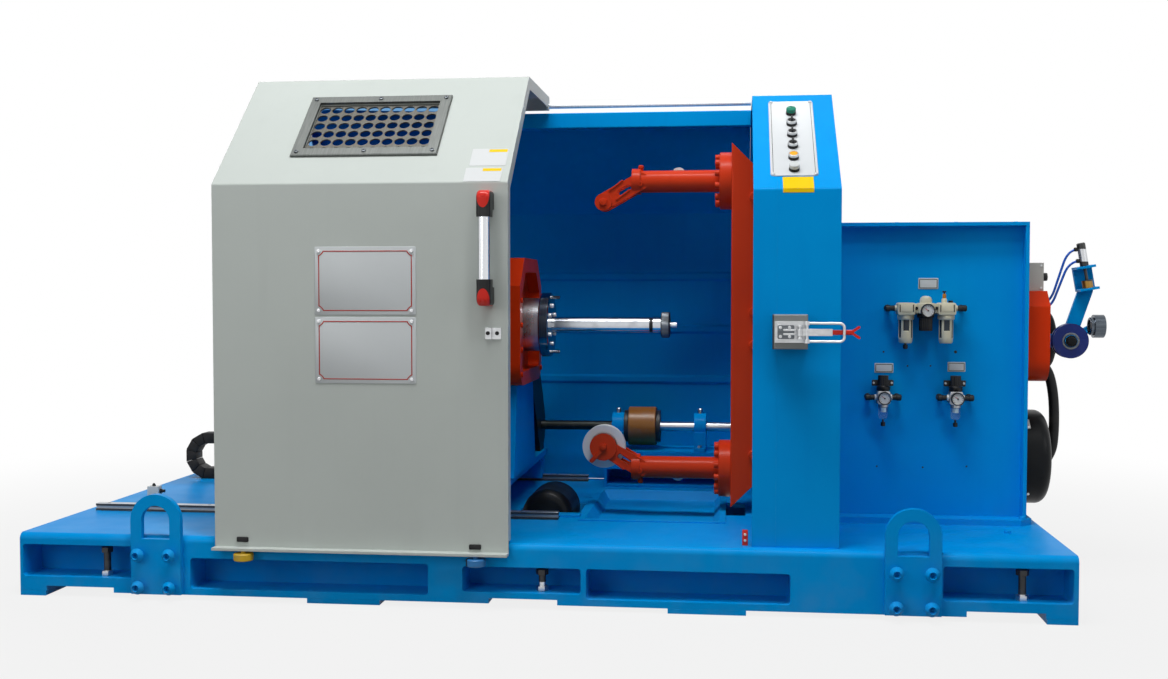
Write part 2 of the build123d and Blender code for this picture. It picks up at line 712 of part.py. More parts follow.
def traverse_motor():
    """Round-ended motor lying across the bed on a cradle plate between deck and floor."""
    front = TRAVERSE_MOTOR_FRONT
    body = rod_y(front, front + TRAVERSE_MOTOR_LENGTH, TRAVERSE_MOTOR_X, TRAVERSE_MOTOR_Z,
                 TRAVERSE_MOTOR_RADIUS)
    rim = body.edges().filter_by(GeomType.CIRCLE).sort_by(Axis.Y)[0]
    body = fillet(rim, TRAVERSE_MOTOR_ROUND)
    half = TRAVERSE_MOTOR_CRADLE / 2
    left = block(MOTOR_HOLE_START - OVERRUN, MOTOR_HOLE_START + MOTOR_HOLE_LENGTH + OVERRUN,
                 front + TRAVERSE_MOTOR_LENGTH / 2 - half, front + TRAVERSE_MOTOR_LENGTH / 2 + half,
                 DECK_TOP - DECK_PLATE - TRAVERSE_MOTOR_CRADLE, DECK_TOP - DECK_PLATE)
    return body + left


def hood_line():
    """Fold line of the hood's outer face from its bottom edge to the rear lip."""
    front = -HOOD_STANDOFF
    return [(front, HOOD_BOTTOM), (front, HOOD_FOLD), (front + HOOD_SLOPE_RUN, HOOD_RIDGE),
            (HOOD_ROOF_END, HOOD_RIDGE), (HOOD_ROOF_END, HOOD_RIDGE - HOOD_LIP)]


def slope_place(front, fold, top, run, rise, x):
    """Plane on a sloping face: its x along the machine, its y up the slope, its normal outwards."""
    length = hypot(run, top - fold)
    along = (run / length, (top - fold) / length)
    origin = (x, front + along[0] * rise, fold + along[1] * rise)
    return Plane(origin=origin, x_dir=(1, 0, 0), z_dir=(0, -along[1], along[0]))


def hood_slope(x, rise):
    return slope_place(-HOOD_STANDOFF, HOOD_FOLD, HOOD_RIDGE, HOOD_SLOPE_RUN, rise, x)


def window_centre():
    return hood_slope(HOOD_START + WINDOW_START + WINDOW_LENGTH / 2, WINDOW_RISE + WINDOW_HEIGHT / 2)


def hood_shell():
    """Folded cover: front, slope, roof and rear lip, with a stiffening return at each end."""
    end = HOOD_START + HOOD_LENGTH
    shell = folded_sheet(hood_line(), HOOD_BEND, HOOD_SHEET, HOOD_START, end)
    for x0 in (HOOD_START, end - HOOD_SHEET):
        line = FilletPolyline(*hood_line(), radius=HOOD_BEND)
        face = Plane.YZ * make_face(offset(line, HOOD_RETURN, side=Side.RIGHT))
        shell += Pos(x0, 0, 0) * extrude(face, amount=HOOD_SHEET)
    front = -HOOD_STANDOFF
    shell += block(HOOD_START, end, front - HOOD_SKIRT, front + HOOD_SHEET,
                   HOOD_BOTTOM - HOOD_SKIRT_SHEET, HOOD_BOTTOM)
    shell -= block(HOOD_START - OVERRUN, end + OVERRUN, front + HOOD_SHEET, SILL_DEPTH,
                   HOOD_BOTTOM - HOOD_SKIRT_SHEET - OVERRUN, DECK_TOP + HOOD_DECK_GAP)
    opening = Box(WINDOW_LENGTH - 2 * WINDOW_BORDER, WINDOW_HEIGHT - 2 * WINDOW_BORDER,
                  2 * HOOD_RETURN)
    return shell - window_centre() * opening


def hood_window_frame():
    """Flat frame screwed round the window."""
    frame = Box(WINDOW_LENGTH, WINDOW_HEIGHT, WINDOW_FRAME_THICK, align=END_ON)
    frame = chamfer(frame.faces().sort_by(Axis.Z)[-1].edges(), WINDOW_FRAME_THICK / 4)
    frame -= Box(WINDOW_LENGTH - 2 * WINDOW_BORDER, WINDOW_HEIGHT - 2 * WINDOW_BORDER, 2 * HOOD_RETURN)
    return window_centre() * frame


def hood_window_pane():
    """Perforated plate behind the window, its last row of round holes half under the frame."""
    length, height = WINDOW_LENGTH - WINDOW_BORDER, WINDOW_HEIGHT - WINDOW_BORDER
    pane = Box(length, height, WINDOW_PANE, align=(Align.CENTER, Align.CENTER, Align.MAX))
    pitch = (length - WINDOW_BORDER) / WINDOW_HOLE_COLUMNS
    holes = []
    for row in range(WINDOW_HOLE_ROWS):
        y = (height - WINDOW_BORDER) / 2 - WINDOW_FIRST_ROW - row * WINDOW_ROW_PITCH
        for column in range(WINDOW_HOLE_COLUMNS):
            x = (column - (WINDOW_HOLE_COLUMNS - 1) / 2) * pitch
            holes.append(Pos(x, y) * Circle(WINDOW_HOLE / 2))
    pane -= extrude(Sketch() + holes, amount=-2 * WINDOW_PANE)
    return window_centre() * Pos(0, 0, -HOOD_SHEET) * pane


def handle_x():
    return HOOD_START + HOOD_LENGTH - HANDLE_INSET


def hood_handle_grip():
    """Round grip tube held off the hood by its two ends."""
    low = HANDLE_BOTTOM + HANDLE_END_HEIGHT - HANDLE_TUBE
    high = HANDLE_TOP - HANDLE_END_HEIGHT + HANDLE_TUBE
    return rod_z(low, high, handle_x(), -HOOD_STANDOFF - HANDLE_STANDOFF, HANDLE_TUBE)


def hood_handle_ends():
    """Moulded feet that clasp the grip, rounded at their outer ends."""
    front = -HOOD_STANDOFF
    grip_y = front - HANDLE_STANDOFF
    half = HANDLE_END_WIDTH / 2

    def foot(z0, z1, outer):
        body = block(handle_x() - half, handle_x() + half, grip_y - HANDLE_TUBE - HANDLE_WALL, front, z0, z1)
        body -= rod_z(HANDLE_BOTTOM + HANDLE_END_HEIGHT - HANDLE_TUBE - SEAT_GAP,
                      HANDLE_TOP - HANDLE_END_HEIGHT + HANDLE_TUBE + SEAT_GAP,
                      handle_x(), grip_y, HANDLE_TUBE + SEAT_GAP)
        rear = front - HANDLE_STANDOFF / 2
        inner = z1 if outer == z0 else z0
        towards = HANDLE_TUBE + OVERRUN if inner == z1 else -HANDLE_TUBE - OVERRUN
        body -= block(handle_x() - half - OVERRUN, handle_x() + half + OVERRUN, rear, front + OVERRUN,
                      min(inner, inner - towards), max(inner, inner - towards))
        edges = body.edges().filter_by(Axis.X)
        edges = edges.filter_by(lambda edge: abs(edge.center().Z - outer) < SEAT_GAP)
        body = fillet(edges.sort_by(Axis.Y)[0], HANDLE_STANDOFF / 2)
        sides = body.edges().filter_by(lambda edge: abs(abs(edge.center().X - handle_x()) - half) < SEAT_GAP)
        nose = sides.filter_by(lambda edge: edge.center().Y < grip_y - HANDLE_TUBE / 2)
        return fillet(nose, HANDLE_END_ROUND)
    low = foot(HANDLE_BOTTOM, HANDLE_BOTTOM + HANDLE_END_HEIGHT, HANDLE_BOTTOM)
    high = foot(HANDLE_TOP - HANDLE_END_HEIGHT, HANDLE_TOP, HANDLE_TOP)
    return group([low, high])


def hood_catch():
    """Hooked catch plate for the latch loop at the hood's right edge."""
    x1 = HOOD_START + HOOD_LENGTH - CATCH_INSET
    x0 = x1 - CATCH_WIDTH
    front = -HOOD_STANDOFF
    third = CATCH_WIDTH / 3
    points = [(front, 0), (front - CATCH_THICK / 3, 0), (front - CATCH_THICK / 3, third),
              (front - CATCH_THICK, third), (front - CATCH_THICK, third + CATCH_THICK / 3),
              (front - CATCH_THICK / 3, third + CATCH_THICK / 3), (front - CATCH_THICK / 3, CATCH_WIDTH),
              (front, CATCH_WIDTH)]
    face = make_face(Polyline(*[(x0 + along, y) for y, along in points], close=True))
    return Pos(0, 0, CATCH_BOTTOM) * extrude(face, amount=CATCH_HEIGHT)


def hood_rollers():
    """Guide rollers under the skirt that run along the bed's front face."""
    y = -ROLLER_RADIUS - RUNNING_GAP
    top = HOOD_BOTTOM - HOOD_SKIRT_SHEET
    rollers = []
    for inset in ROLLER_INSETS:
        x = HOOD_START + inset
        wheel = rod_z(top - ROLLER_DROP - ROLLER_HEIGHT, top - ROLLER_DROP, x, y, ROLLER_RADIUS)
        wheel = chamfer(wheel.edges().filter_by(GeomType.CIRCLE), ROLLER_DROP / 3)
        rollers.append(wheel + rod_z(top - ROLLER_DROP, top, x, y, ROLLER_PIN))
    return group(rollers)


def hood_runners():
    """Bearing blocks behind the hood's lip that slide along the top rod."""
    blocks = []
    for inset in RUNNER_INSETS:
        x = HOOD_START + inset
        body = block(x, x + RUNNER_LENGTH, HOOD_ROOF_END, HOOD_ROOF_END + RUNNER_DEPTH,
                     ROD_Z - RUNNER_HEIGHT / 2, ROD_Z + RUNNER_HEIGHT / 2)
        body = fillet(body.edges().filter_by(Axis.X).sort_by(Axis.Y)[-2:], RUNNER_HEIGHT / 5)
        blocks.append(body - rod_x(x - OVERRUN, x + RUNNER_LENGTH + OVERRUN, ROD_Y, ROD_Z,
                                   ROD_RADIUS + RUNNING_GAP))
    return group(blocks)


def top_rod():
    """Polished rod along the top opening."""
    return rod_x(COVER_START, CABINET_START, ROD_Y, ROD_Z, ROD_RADIUS)


def top_beam():
    """Box beam under the rod with a bracket that holds the rod's left end."""
    beam = block(COVER_START, CABINET_START, BEAM_FRONT, BEAM_FRONT + BEAM_DEPTH,
                 BEAM_TOP - BEAM_HEIGHT, BEAM_TOP)
    beam = fillet(beam.edges().filter_by(Axis.X).sort_by(Axis.Y)[:2], COVER_SHEET)
    bracket = block(COVER_START, COVER_START + ROD_BRACKET, BEAM_FRONT, BEAM_FRONT + BEAM_DEPTH,
                    BEAM_TOP, ROD_Z + ROD_RADIUS + COVER_SHEET)
    bracket -= rod_x(COVER_START - OVERRUN, COVER_START + ROD_BRACKET + OVERRUN, ROD_Y, ROD_Z,
                     ROD_RADIUS + SEAT_GAP)
    return beam + bracket


def rear_cover():
    """Folded rear cover, stiffened by ribs pressed along its back and by a return at its left end."""
    back = BED_DEPTH - COVER_INSET
    beam_back = BEAM_FRONT + BEAM_DEPTH
    line = [(beam_back + SEAT_GAP, BEAM_TOP), (beam_back + COVER_TOP_WIDTH, BEAM_TOP),
            (back, BEAM_TOP - COVER_DROP), (back, DECK_TOP)]
    cover = folded_sheet(line, COVER_BEND, COVER_SHEET, COVER_START, CABINET_START)
    path = FilletPolyline(*line, radius=COVER_BEND)
    edge = Plane.YZ * make_face(offset(path, COVER_RETURN, side=Side.RIGHT))
    cover += Pos(COVER_START, 0, 0) * extrude(edge, amount=COVER_SHEET)
    for z in COVER_RIB_HEIGHTS:
        points = [(back - COVER_SHEET, z - 2 * COVER_RIB), (back - COVER_SHEET - COVER_RIB, z - COVER_RIB),
                  (back - COVER_SHEET - COVER_RIB, z + COVER_RIB), (back - COVER_SHEET, z + 2 * COVER_RIB)]
        cover += prism_x(points, COVER_START, CABINET_START)
    return cover


def cabinet_outline(inset=0):
    """Half-hexagon outline of the headstock, the same at front and back."""
    front, back = CABINET_FRONT + inset, BED_DEPTH - CABINET_FRONT - inset
    fold = CABINET_FOLD - inset * (CABINET_TOP - CABINET_FOLD) / CABINET_SLOPE_RUN
    top = CABINET_TOP - inset
    run = CABINET_SLOPE_RUN
    return [(front, DECK_TOP), (front, fold), (front + run, top), (back - run, top), (back, fold),
            (back, DECK_TOP)]


def headstock_cabinet():
    """Closed headstock housing with the bearing bore of the main shaft."""
    body = prism_x(cabinet_outline(), CABINET_WALL, CABINET_END)
    body = fillet(body.edges().filter_by(Axis.X).sort_by(Axis.Z)[2:], COVER_BEND)
    body -= rod_x(CABINET_WALL - OVERRUN, CABINET_END + OVERRUN, AXIS_Y, AXIS_Z, SHAFT_RADIUS + RUNNING_GAP)
    shaft_hole = rod_x(CABINET_WALL - OVERRUN, CABINET_WALL + CABINET_RIM * 4, REAR_SHAFT_Y, REAR_SHAFT_Z,
                       REAR_SHAFT_RADIUS + RUNNING_GAP)
    return body - shaft_hole


def headstock_rim():
    """Deep rim that carries the cabinet's faces forward round the rotor beam."""
    outer = prism_x(cabinet_outline(), CABINET_START, CABINET_WALL)
    outer = fillet(outer.edges().filter_by(Axis.X).sort_by(Axis.Z)[2:], COVER_BEND)
    inner = [(y, z if z > DECK_TOP else z - OVERRUN) for y, z in cabinet_outline(CABINET_RIM)]
    return outer - prism_x(inner, CABINET_START - OVERRUN, CABINET_WALL + OVERRUN)


def control_place(rise):
    x = CONTROL_PLATE_START + CONTROL_PLATE_WIDTH / 2
    return slope_place(CABINET_FRONT, CABINET_FOLD, CABINET_TOP, CABINET_SLOPE_RUN, rise, x)


def control_plate():
    """White plate on the cabinet's slope."""
    plate = Box(CONTROL_PLATE_WIDTH, CONTROL_PLATE_HEIGHT, CONTROL_PLATE_THICK, align=END_ON)
    plate = fillet(plate.edges().filter_by(Axis.Z), COVER_BEND)
    return control_place(CONTROL_PLATE_RISE + CONTROL_PLATE_HEIGHT / 2) * plate


def control_buttons():
    """Column of push buttons and winged selectors on collars."""
    centre = CONTROL_PLATE_RISE + CONTROL_PLATE_HEIGHT / 2
    buttons = []
    for place, kind in enumerate(BUTTON_KINDS):
        rise = centre + ((len(BUTTON_KINDS) - 1) / 2 - place) * BUTTON_PITCH
        button = Pos(0, 0, CONTROL_PLATE_THICK) * Cylinder(BUTTON_RADIUS, BUTTON_COLLAR, align=END_ON)
        button = chamfer(button.faces().sort_by(Axis.Z)[-1].edges(), BUTTON_COLLAR / 4)
        cap = Pos(0, 0, CONTROL_PLATE_THICK + BUTTON_COLLAR)
        if kind == "selector":
            button += cap * Box(SELECTOR_WING, 2 * BUTTON_CAP_RADIUS, 2 * BUTTON_CAP, align=END_ON)
        else:
            button += cap * Cylinder(BUTTON_CAP_RADIUS, BUTTON_CAP, align=END_ON)
        buttons.append(control_place(rise) * button)
    return group(buttons)


def latch_pivot():
    """Place of the latch's upright pin as (x, y) and its middle height."""
    x = LATCH_BLOCK_START + LATCH_BLOCK_WIDTH - LATCH_PIVOT_INSET
    y = CABINET_FRONT - LATCH_BLOCK_PROUD - LATCH_BASE_THICK - LATCH_PIVOT_PROUD
    return x, y, LATCH_BLOCK_BOTTOM + LATCH_BLOCK_HEIGHT / 2


def latch_block():
    """Stand-off block of the latch."""
    body = block(LATCH_BLOCK_START, LATCH_BLOCK_START + LATCH_BLOCK_WIDTH,
                 CABINET_FRONT - LATCH_BLOCK_PROUD, CABINET_FRONT,
                 LATCH_BLOCK_BOTTOM, LATCH_BLOCK_BOTTOM + LATCH_BLOCK_HEIGHT)
    return chamfer(body.faces().sort_by(Axis.Y)[0].edges(), LATCH_BASE_THICK / 2)


def latch_base():
    """Zinc base with two ears and the pin between them."""
    x, y, z = latch_pivot()
    front = CABINET_FRONT - LATCH_BLOCK_PROUD
    half = LATCH_BLOCK_HEIGHT * LATCH_BASE_SHARE / 2
    end = LATCH_BLOCK_START + LATCH_BLOCK_WIDTH
    start = LATCH_BLOCK_START + LATCH_BASE_THICK
    base = block(start, end, front - LATCH_BASE_THICK, front, z - half, z + half)
    ear_radius = LATCH_PIN * 2
    for side in (-1, 1):
        inner = z + side * LATCH_EAR_HEIGHT / 2
        outer = inner + side * LATCH_EAR
        low, high = min(inner, outer), max(inner, outer)
        base += rod_z(low, high, x, y, ear_radius)
        base += block(x - ear_radius, x + ear_radius, y, front, low, high)
    pin = LATCH_EAR_HEIGHT / 2 + LATCH_EAR
    return base + rod_z(z - pin, z + pin, x, y, LATCH_PIN)


def latch_lever():
    """Lever on the pin, with studs for the wire loop."""
    x, y, z = latch_pivot()
    half = LEVER_WIDTH / 2
    lever = block(x, x + LEVER_LENGTH, y - LEVER_THICK / 2, y + LEVER_THICK / 2, z - half, z + half)
    lever += rod_z(z - half, z + half, x, y, LATCH_PIN * 2)
    lever -= rod_z(z - LEVER_WIDTH, z + LEVER_WIDTH, x, y, LATCH_PIN + RUNNING_GAP)
    stud = LOOP_WIDTH / 2 + LOOP_WIRE
    return lever + rod_z(z - stud, z + stud, x + LOOP_PIVOT, y, LATCH_PIN)


def latch_grip():
    """Red grip sleeve with a forked end."""
    x, y, z = latch_pivot()
    start = x + LEVER_LENGTH
    half = GRIP_THICK / 2
    grip = block(start, start + GRIP_LENGTH - GRIP_FORK / 2, y - half, y + half, z - half, z + half)
    grip = fillet(grip.edges().filter_by(Axis.X), half / 2)
    tip = start + GRIP_LENGTH - GRIP_FORK / 2
    for side in (-1, 1):
        prong_end = (tip + GRIP_FORK / 2, z + side * GRIP_FORK / 2)
        grip += link_plate((tip - half, z), prong_end, half / 2, y - half, y + half)
    return grip


def latch_loop():
    """Bent wire loop on the lever's studs."""
    x, y, z = latch_pivot()
    near = x + LOOP_PIVOT
    half = LOOP_WIDTH / 2
    front = y - GRIP_THICK / 2 - LOOP_WIRE - RUNNING_GAP
    path = FilletPolyline((near, y, z - half), (near + LOOP_LENGTH, front, z - half),
                          (near + LOOP_LENGTH, front, z + half), (near, y, z + half), radius=half / 2)
    loop = sweep(Plane(origin=path @ 0, z_dir=path % 0) * Circle(LOOP_WIRE), path=path)
    for middle in (z - half, z + half):
        loop += rod_z(middle - LOOP_EYE / 2, middle + LOOP_EYE / 2, near, y, LATCH_PIN + LOOP_WIRE)
    return loop - rod_z(z - LOOP_WIDTH, z + LOOP_WIDTH, near, y, LATCH_PIN + RUNNING_GAP)


def service_panel():
    """Air panel: sheet with flanges turned forward at its top and right edge."""
    low, end = DECK_TOP + PAD_HEIGHT, CABINET_END + PANEL_LENGTH
    panel = block(CABINET_END, end, PANEL_FRONT, PANEL_FRONT + PANEL_SHEET, low, PANEL_TOP)
    panel += block(CABINET_END, end, PANEL_FRONT - PANEL_FLANGE, PANEL_FRONT, PANEL_TOP - PANEL_SHEET * 3,
                   PANEL_TOP)
    return panel + block(end - PANEL_SHEET * 3, end, PANEL_FRONT - PANEL_FLANGE, PANEL_FRONT, low, PANEL_TOP)


def drive_cover():
    """Folded cover over the drive: top and back."""
    front = PANEL_FRONT + PANEL_SHEET
    line = [(front, PANEL_TOP), (DRIVE_BACK, PANEL_TOP), (DRIVE_BACK, DECK_TOP + PAD_HEIGHT)]
    return folded_sheet(line, COVER_BEND, PANEL_SHEET, CABINET_END, CABINET_END + PANEL_LENGTH)


def bearing_stand():
    """Portal over the motor that carries the main shaft's outer bearing."""
    low, end = DECK_TOP + PAD_HEIGHT, STAND_START + STAND_THICK
    front, back = PANEL_FRONT + PANEL_SHEET, DRIVE_BACK - PANEL_SHEET
    body = block(STAND_START, end, front, back, low, STAND_TOP)
    body = chamfer(body.edges().filter_by(Axis.X).sort_by(Axis.Z)[-2:], GUARD_CHAMFER)
    body -= block(STAND_START - OVERRUN, end + OVERRUN, front + STAND_LEG, back - STAND_LEG,
                  low - OVERRUN, STAND_BRIDGE_BOTTOM)
    return body - rod_x(STAND_START - OVERRUN, end + OVERRUN, AXIS_Y, AXIS_Z, SHAFT_RADIUS + RUNNING_GAP)


def main_motor():
    """Foot-mounted motor: ribbed barrel, smooth cowl with a rounded end."""
    end = MOTOR_START + MOTOR_LENGTH
    cowl = rod_x(end - MOTOR_COWL, end, MOTOR_Y, MOTOR_Z, MOTOR_RADIUS)
    cowl = fillet(cowl.edges().filter_by(GeomType.CIRCLE).sort_by(Axis.X)[-1], MOTOR_ROUND)
    barrel = rod_x(MOTOR_START, end - MOTOR_COWL, MOTOR_Y, MOTOR_Z, MOTOR_RADIUS - MOTOR_RIB_HEIGHT)
    motor = cowl + barrel
    rib = block(MOTOR_START + MOTOR_ROUND, end - MOTOR_COWL, -MOTOR_RIB / 2, MOTOR_RIB / 2,
                MOTOR_RADIUS - 2 * MOTOR_RIB_HEIGHT, MOTOR_RADIUS)
    for step in range(MOTOR_RIBS):
        motor += Pos(0, MOTOR_Y, MOTOR_Z) * Rot(step * 360 / MOTOR_RIBS, 0, 0) * rib
    for side in (-1, 1):
        y = MOTOR_Y + side * MOTOR_RADIUS / 2
        motor += block(MOTOR_START + MOTOR_ROUND, end - MOTOR_COWL, y - MOTOR_FOOT_WIDTH / 2,
                       y + MOTOR_FOOT_WIDTH / 2, DECK_TOP + PAD_HEIGHT, MOTOR_Z - MOTOR_RADIUS / 2)
    return motor


def belt_guard():
    """Red guard: cut top corners, rounded bottom corners, a bore for the hollow shaft."""
    start = STAND_START + STAND_THICK
    body = block(start, GUARD_END, AXIS_Y - GUARD_HALF_WIDTH, AXIS_Y + GUARD_HALF_WIDTH,
                 GUARD_BOTTOM, GUARD_TOP)
    edges = body.edges().filter_by(Axis.X).sort_by(Axis.Z)
    body = fillet(edges[:2], GUARD_ROUND)
    body = chamfer(body.edges().filter_by(Axis.X).sort_by(Axis.Z)[-2:], GUARD_CHAMFER)
    return body - rod_x(start - OVERRUN, GUARD_END + OVERRUN, AXIS_Y, AXIS_Z, SHAFT_RADIUS + RUNNING_GAP)


def switch_box():
    """Switch box on the guard's flat top with a turning knob at its right side."""
    start = SWITCH_BOX_END - SWITCH_BOX_LENGTH
    low = GUARD_TOP
    front = AXIS_Y - SWITCH_BOX_DEPTH / 2
    box = block(start, SWITCH_BOX_END, front, front + SWITCH_BOX_DEPTH, low, low + SWITCH_BOX_HEIGHT)
    box = fillet(box.edges().filter_by(Axis.Z), SWITCH_BOX_ROUND)
    middle = low + SWITCH_BOX_HEIGHT / 2
    return box + rod_x(SWITCH_BOX_END, SWITCH_BOX_END + SWITCH_KNOB_LENGTH, front + SWITCH_BOX_DEPTH / 3,
                       middle, SWITCH_KNOB)


def conduit(y, top, end, end_x):
    """Bowed conduit from the guard's right face at top back to end_x at height end."""
    reach = GUARD_END + CONDUIT_OUT
    path = FilletPolyline((GUARD_END, y, top), (reach, y, top), (reach, y, end), (end_x, y, end),
                          radius=CONDUIT_BEND)
    return sweep(Plane(origin=path @ 0, z_dir=path % 0) * Circle(CONDUIT_RADIUS), path=path)


def conduits():
    """One conduit from the belt guard to the motor's cowl and one that loops along the guard."""
    motor_end = MOTOR_START + MOTOR_LENGTH
    lower = conduit(AXIS_Y + MOTOR_CONDUIT_BEHIND, AXIS_Z - MOTOR_CONDUIT_DROP, MOTOR_Z - MOTOR_CONDUIT_SINK,
                    motor_end)
    upper = conduit(AXIS_Y + GUARD_CONDUIT_BEHIND, AXIS_Z + GUARD_CONDUIT_RISE, AXIS_Z - GUARD_CONDUIT_DROP,
                    GUARD_END)
    return group([lower, upper])


def wheel_z():
    return AXIS_Z - WHEEL_RADIUS + WHEEL_GROOVE


def entry_bracket():
    """Plate arm from the guard past the wheel to the inlet ring, with the press frame at its top."""
    y0 = AXIS_Y + WHEEL_WIDTH / 2 + ARM_GAP
    y1 = y0 + ARM_PLATE
    axle = (WHEEL_X, wheel_z())
    half = ARM_WIDTH / 2
    arm = link_plate(axle, (PRESS_X, PRESS_BOTTOM), half, y0, y1)
    arm += block(GUARD_END, WHEEL_X, y0, y1, wheel_z() - half, wheel_z() + half)
    arm += block(GUARD_END, GUARD_END + BRACKET_FOOT, y0, y1 + ARM_WIDTH, wheel_z() - half, wheel_z() + half)
    ring_x = INLET_START + INLET_LENGTH / 2
    arm += link_plate(axle, (ring_x, AXIS_Z), half / 2, y0, y1)
    outer = INLET_RADIUS + INLET_RING
    arm += rod_x(ring_x - half / 2, ring_x + half / 2, AXIS_Y, AXIS_Z, outer)
    pin_end = AXIS_Y - WHEEL_WIDTH / 2 - RUNNING_GAP
    arm += rod_y(pin_end, y0, WHEEL_X, wheel_z(), WHEEL_BORE - RUNNING_GAP)
    arm += rod_y(pin_end - WHEEL_PIN_HEAD_THICK, pin_end, WHEEL_X, wheel_z(), WHEEL_PIN_HEAD)
    lean = Pos(PRESS_X, 0, PRESS_BOTTOM) * Rot(0, -PRESS_LEAN, 0)
    length = PRESS_LENGTH / 2
    front = y1 - PRESS_DEPTH
    upper = PRESS_GAP + PRESS_PLATE
    frame = block(-length, length, front, y1, 0, PRESS_PLATE)
    frame += block(-length, length, front, y1, upper, upper + PRESS_PLATE)
    frame += block(-length, length, y1 - ARM_PLATE, y1, 0, upper + PRESS_PLATE)
    frame -= rod_z(upper - OVERRUN, upper + PRESS_PLATE + OVERRUN, 0, front + PRESS_DEPTH / 3,
                   PRESS_ROD + SEAT_GAP)
    arm += lean * frame
    return arm - rod_x(INLET_START - OVERRUN, RIGHT_END + OVERRUN, AXIS_Y, AXIS_Z, INLET_RADIUS + SEAT_GAP)


def entry_tube():
    """Hollow inlet guide on the main axis."""
    tube = rod_x(INLET_START, RIGHT_END, AXIS_Y, AXIS_Z, INLET_RADIUS)
    tube = chamfer(tube.edges().filter_by(GeomType.CIRCLE), INLET_WALL / 4)
    return tube - rod_x(INLET_START - OVERRUN, RIGHT_END + OVERRUN, AXIS_Y, AXIS_Z,
                        INLET_RADIUS - INLET_WALL)


def entry_cylinder():
    """Press cylinder with rod and pad inside the leaning press frame."""
    y = AXIS_Y + WHEEL_WIDTH / 2 + ARM_GAP + ARM_PLATE - PRESS_DEPTH * 2 / 3
    seat = PRESS_GAP + 2 * PRESS_PLATE
    body = rod_z(seat, seat + PRESS_CYLINDER_LENGTH, 0, y, PRESS_CYLINDER)
    body = chamfer(body.faces().sort_by(Axis.Z)[-1].edges(), PRESS_CYLINDER / 5)
    body += rod_z(PRESS_PLATE + PRESS_PAD_THICK, seat, 0, y, PRESS_ROD)
    body += rod_z(PRESS_PLATE, PRESS_PLATE + PRESS_PAD_THICK, 0, y, PRESS_PAD)
    return Pos(PRESS_X, 0, PRESS_BOTTOM) * Rot(0, -PRESS_LEAN, 0) * body


def air_tubes():
    """Two air tubes that rise from the guard's right face to the press cylinder's side."""
    lean = radians(PRESS_LEAN)
    y = AXIS_Y + WHEEL_WIDTH / 2 + ARM_GAP + ARM_PLATE - PRESS_DEPTH * 2 / 3
    seat = PRESS_GAP + 2 * PRESS_PLATE
    reach = PRESS_CYLINDER + TUBE_RADIUS * 3 / 4
    tubes = []
    for share, drop in zip(TUBE_HEIGHT_SHARES, TUBE_DROPS):
        height = seat + PRESS_CYLINDER_LENGTH * share
        side_x = PRESS_X - sin(lean) * height - cos(lean) * reach
        side_z = PRESS_BOTTOM + cos(lean) * height - sin(lean) * reach
        low = GUARD_TOP - drop
        path = FilletPolyline((GUARD_END, y, low), (GUARD_END + TUBE_OUT, y, low),
                              (side_x - TUBE_OUT, y, side_z), (side_x, y, side_z), radius=TUBE_BEND)
        tubes.append(sweep(Plane(origin=path @ 0, z_dir=path % 0) * Circle(TUBE_RADIUS), path=path))
    return group(tubes)


def entry_wheel():
    """Grooved inlet wheel."""
    half = WHEEL_WIDTH / 2
    root = WHEEL_RADIUS - WHEEL_GROOVE
    outline = Polyline((WHEEL_BORE, -half), (WHEEL_RADIUS, -half), (WHEEL_RADIUS, -half * 2 / 3),
                       (root, -half / 4), (root, half / 4), (WHEEL_RADIUS, half * 2 / 3),
                       (WHEEL_RADIUS, half), (WHEEL_BORE, half), close=True)
    wheel = revolve(make_face(outline), Axis.Y)
    return Pos(WHEEL_X, AXIS_Y, wheel_z()) * wheel


def gauge(x, z, y0):
    """Round gauge facing forward on a short stem that ends at depth y0."""
    dial = rod_y(y0 - GAUGE_STEM - GAUGE_DEPTH, y0 - GAUGE_STEM, x, z, GAUGE_RADIUS)
    dial = fillet(dial.faces().sort_by(Axis.Y)[0].edges(), GAUGE_DEPTH / 8)
    return dial + rod_y(y0 - GAUGE_STEM, y0, x, z, GAUGE_STEM)


def air_service_unit():
    """Filter, regulator and lubricator bodies joined by spacers on a wall plate."""
    pitch = AIR_BODY_WIDTH + AIR_SPACER
    front = PANEL_FRONT - AIR_BACK - AIR_BODY_DEPTH
    low = AIR_UNIT_Z - AIR_BODY_HEIGHT / 2
    unit = None
    for step in (-1, 0, 1):
        x = AIR_UNIT_X + step * pitch
        body = block(x - AIR_BODY_WIDTH / 2, x + AIR_BODY_WIDTH / 2, front, front + AIR_BODY_DEPTH,
                     low, low + AIR_BODY_HEIGHT)
        body = fillet(body.edges().filter_by(Axis.Z), AIR_BODY_ROUND)
        unit = body if unit is None else unit + body
    half = AIR_BODY_HEIGHT / 4
    unit += block(AIR_UNIT_X - pitch, AIR_UNIT_X + pitch, front + AIR_BODY_ROUND,
                  front + AIR_BODY_DEPTH - AIR_BODY_ROUND, AIR_UNIT_Z - half, AIR_UNIT_Z + half)
    unit += block(AIR_UNIT_X - pitch, AIR_UNIT_X + pitch, front + AIR_BODY_DEPTH, PANEL_FRONT,
                  AIR_UNIT_Z - half, AIR_UNIT_Z + half)
    middle = front + AIR_BODY_DEPTH / 2
    top = low + AIR_BODY_HEIGHT
    unit += rod_z(top, top + AIR_DOME_LENGTH, AIR_UNIT_X + pitch, middle, AIR_DOME_RADIUS)
    return unit


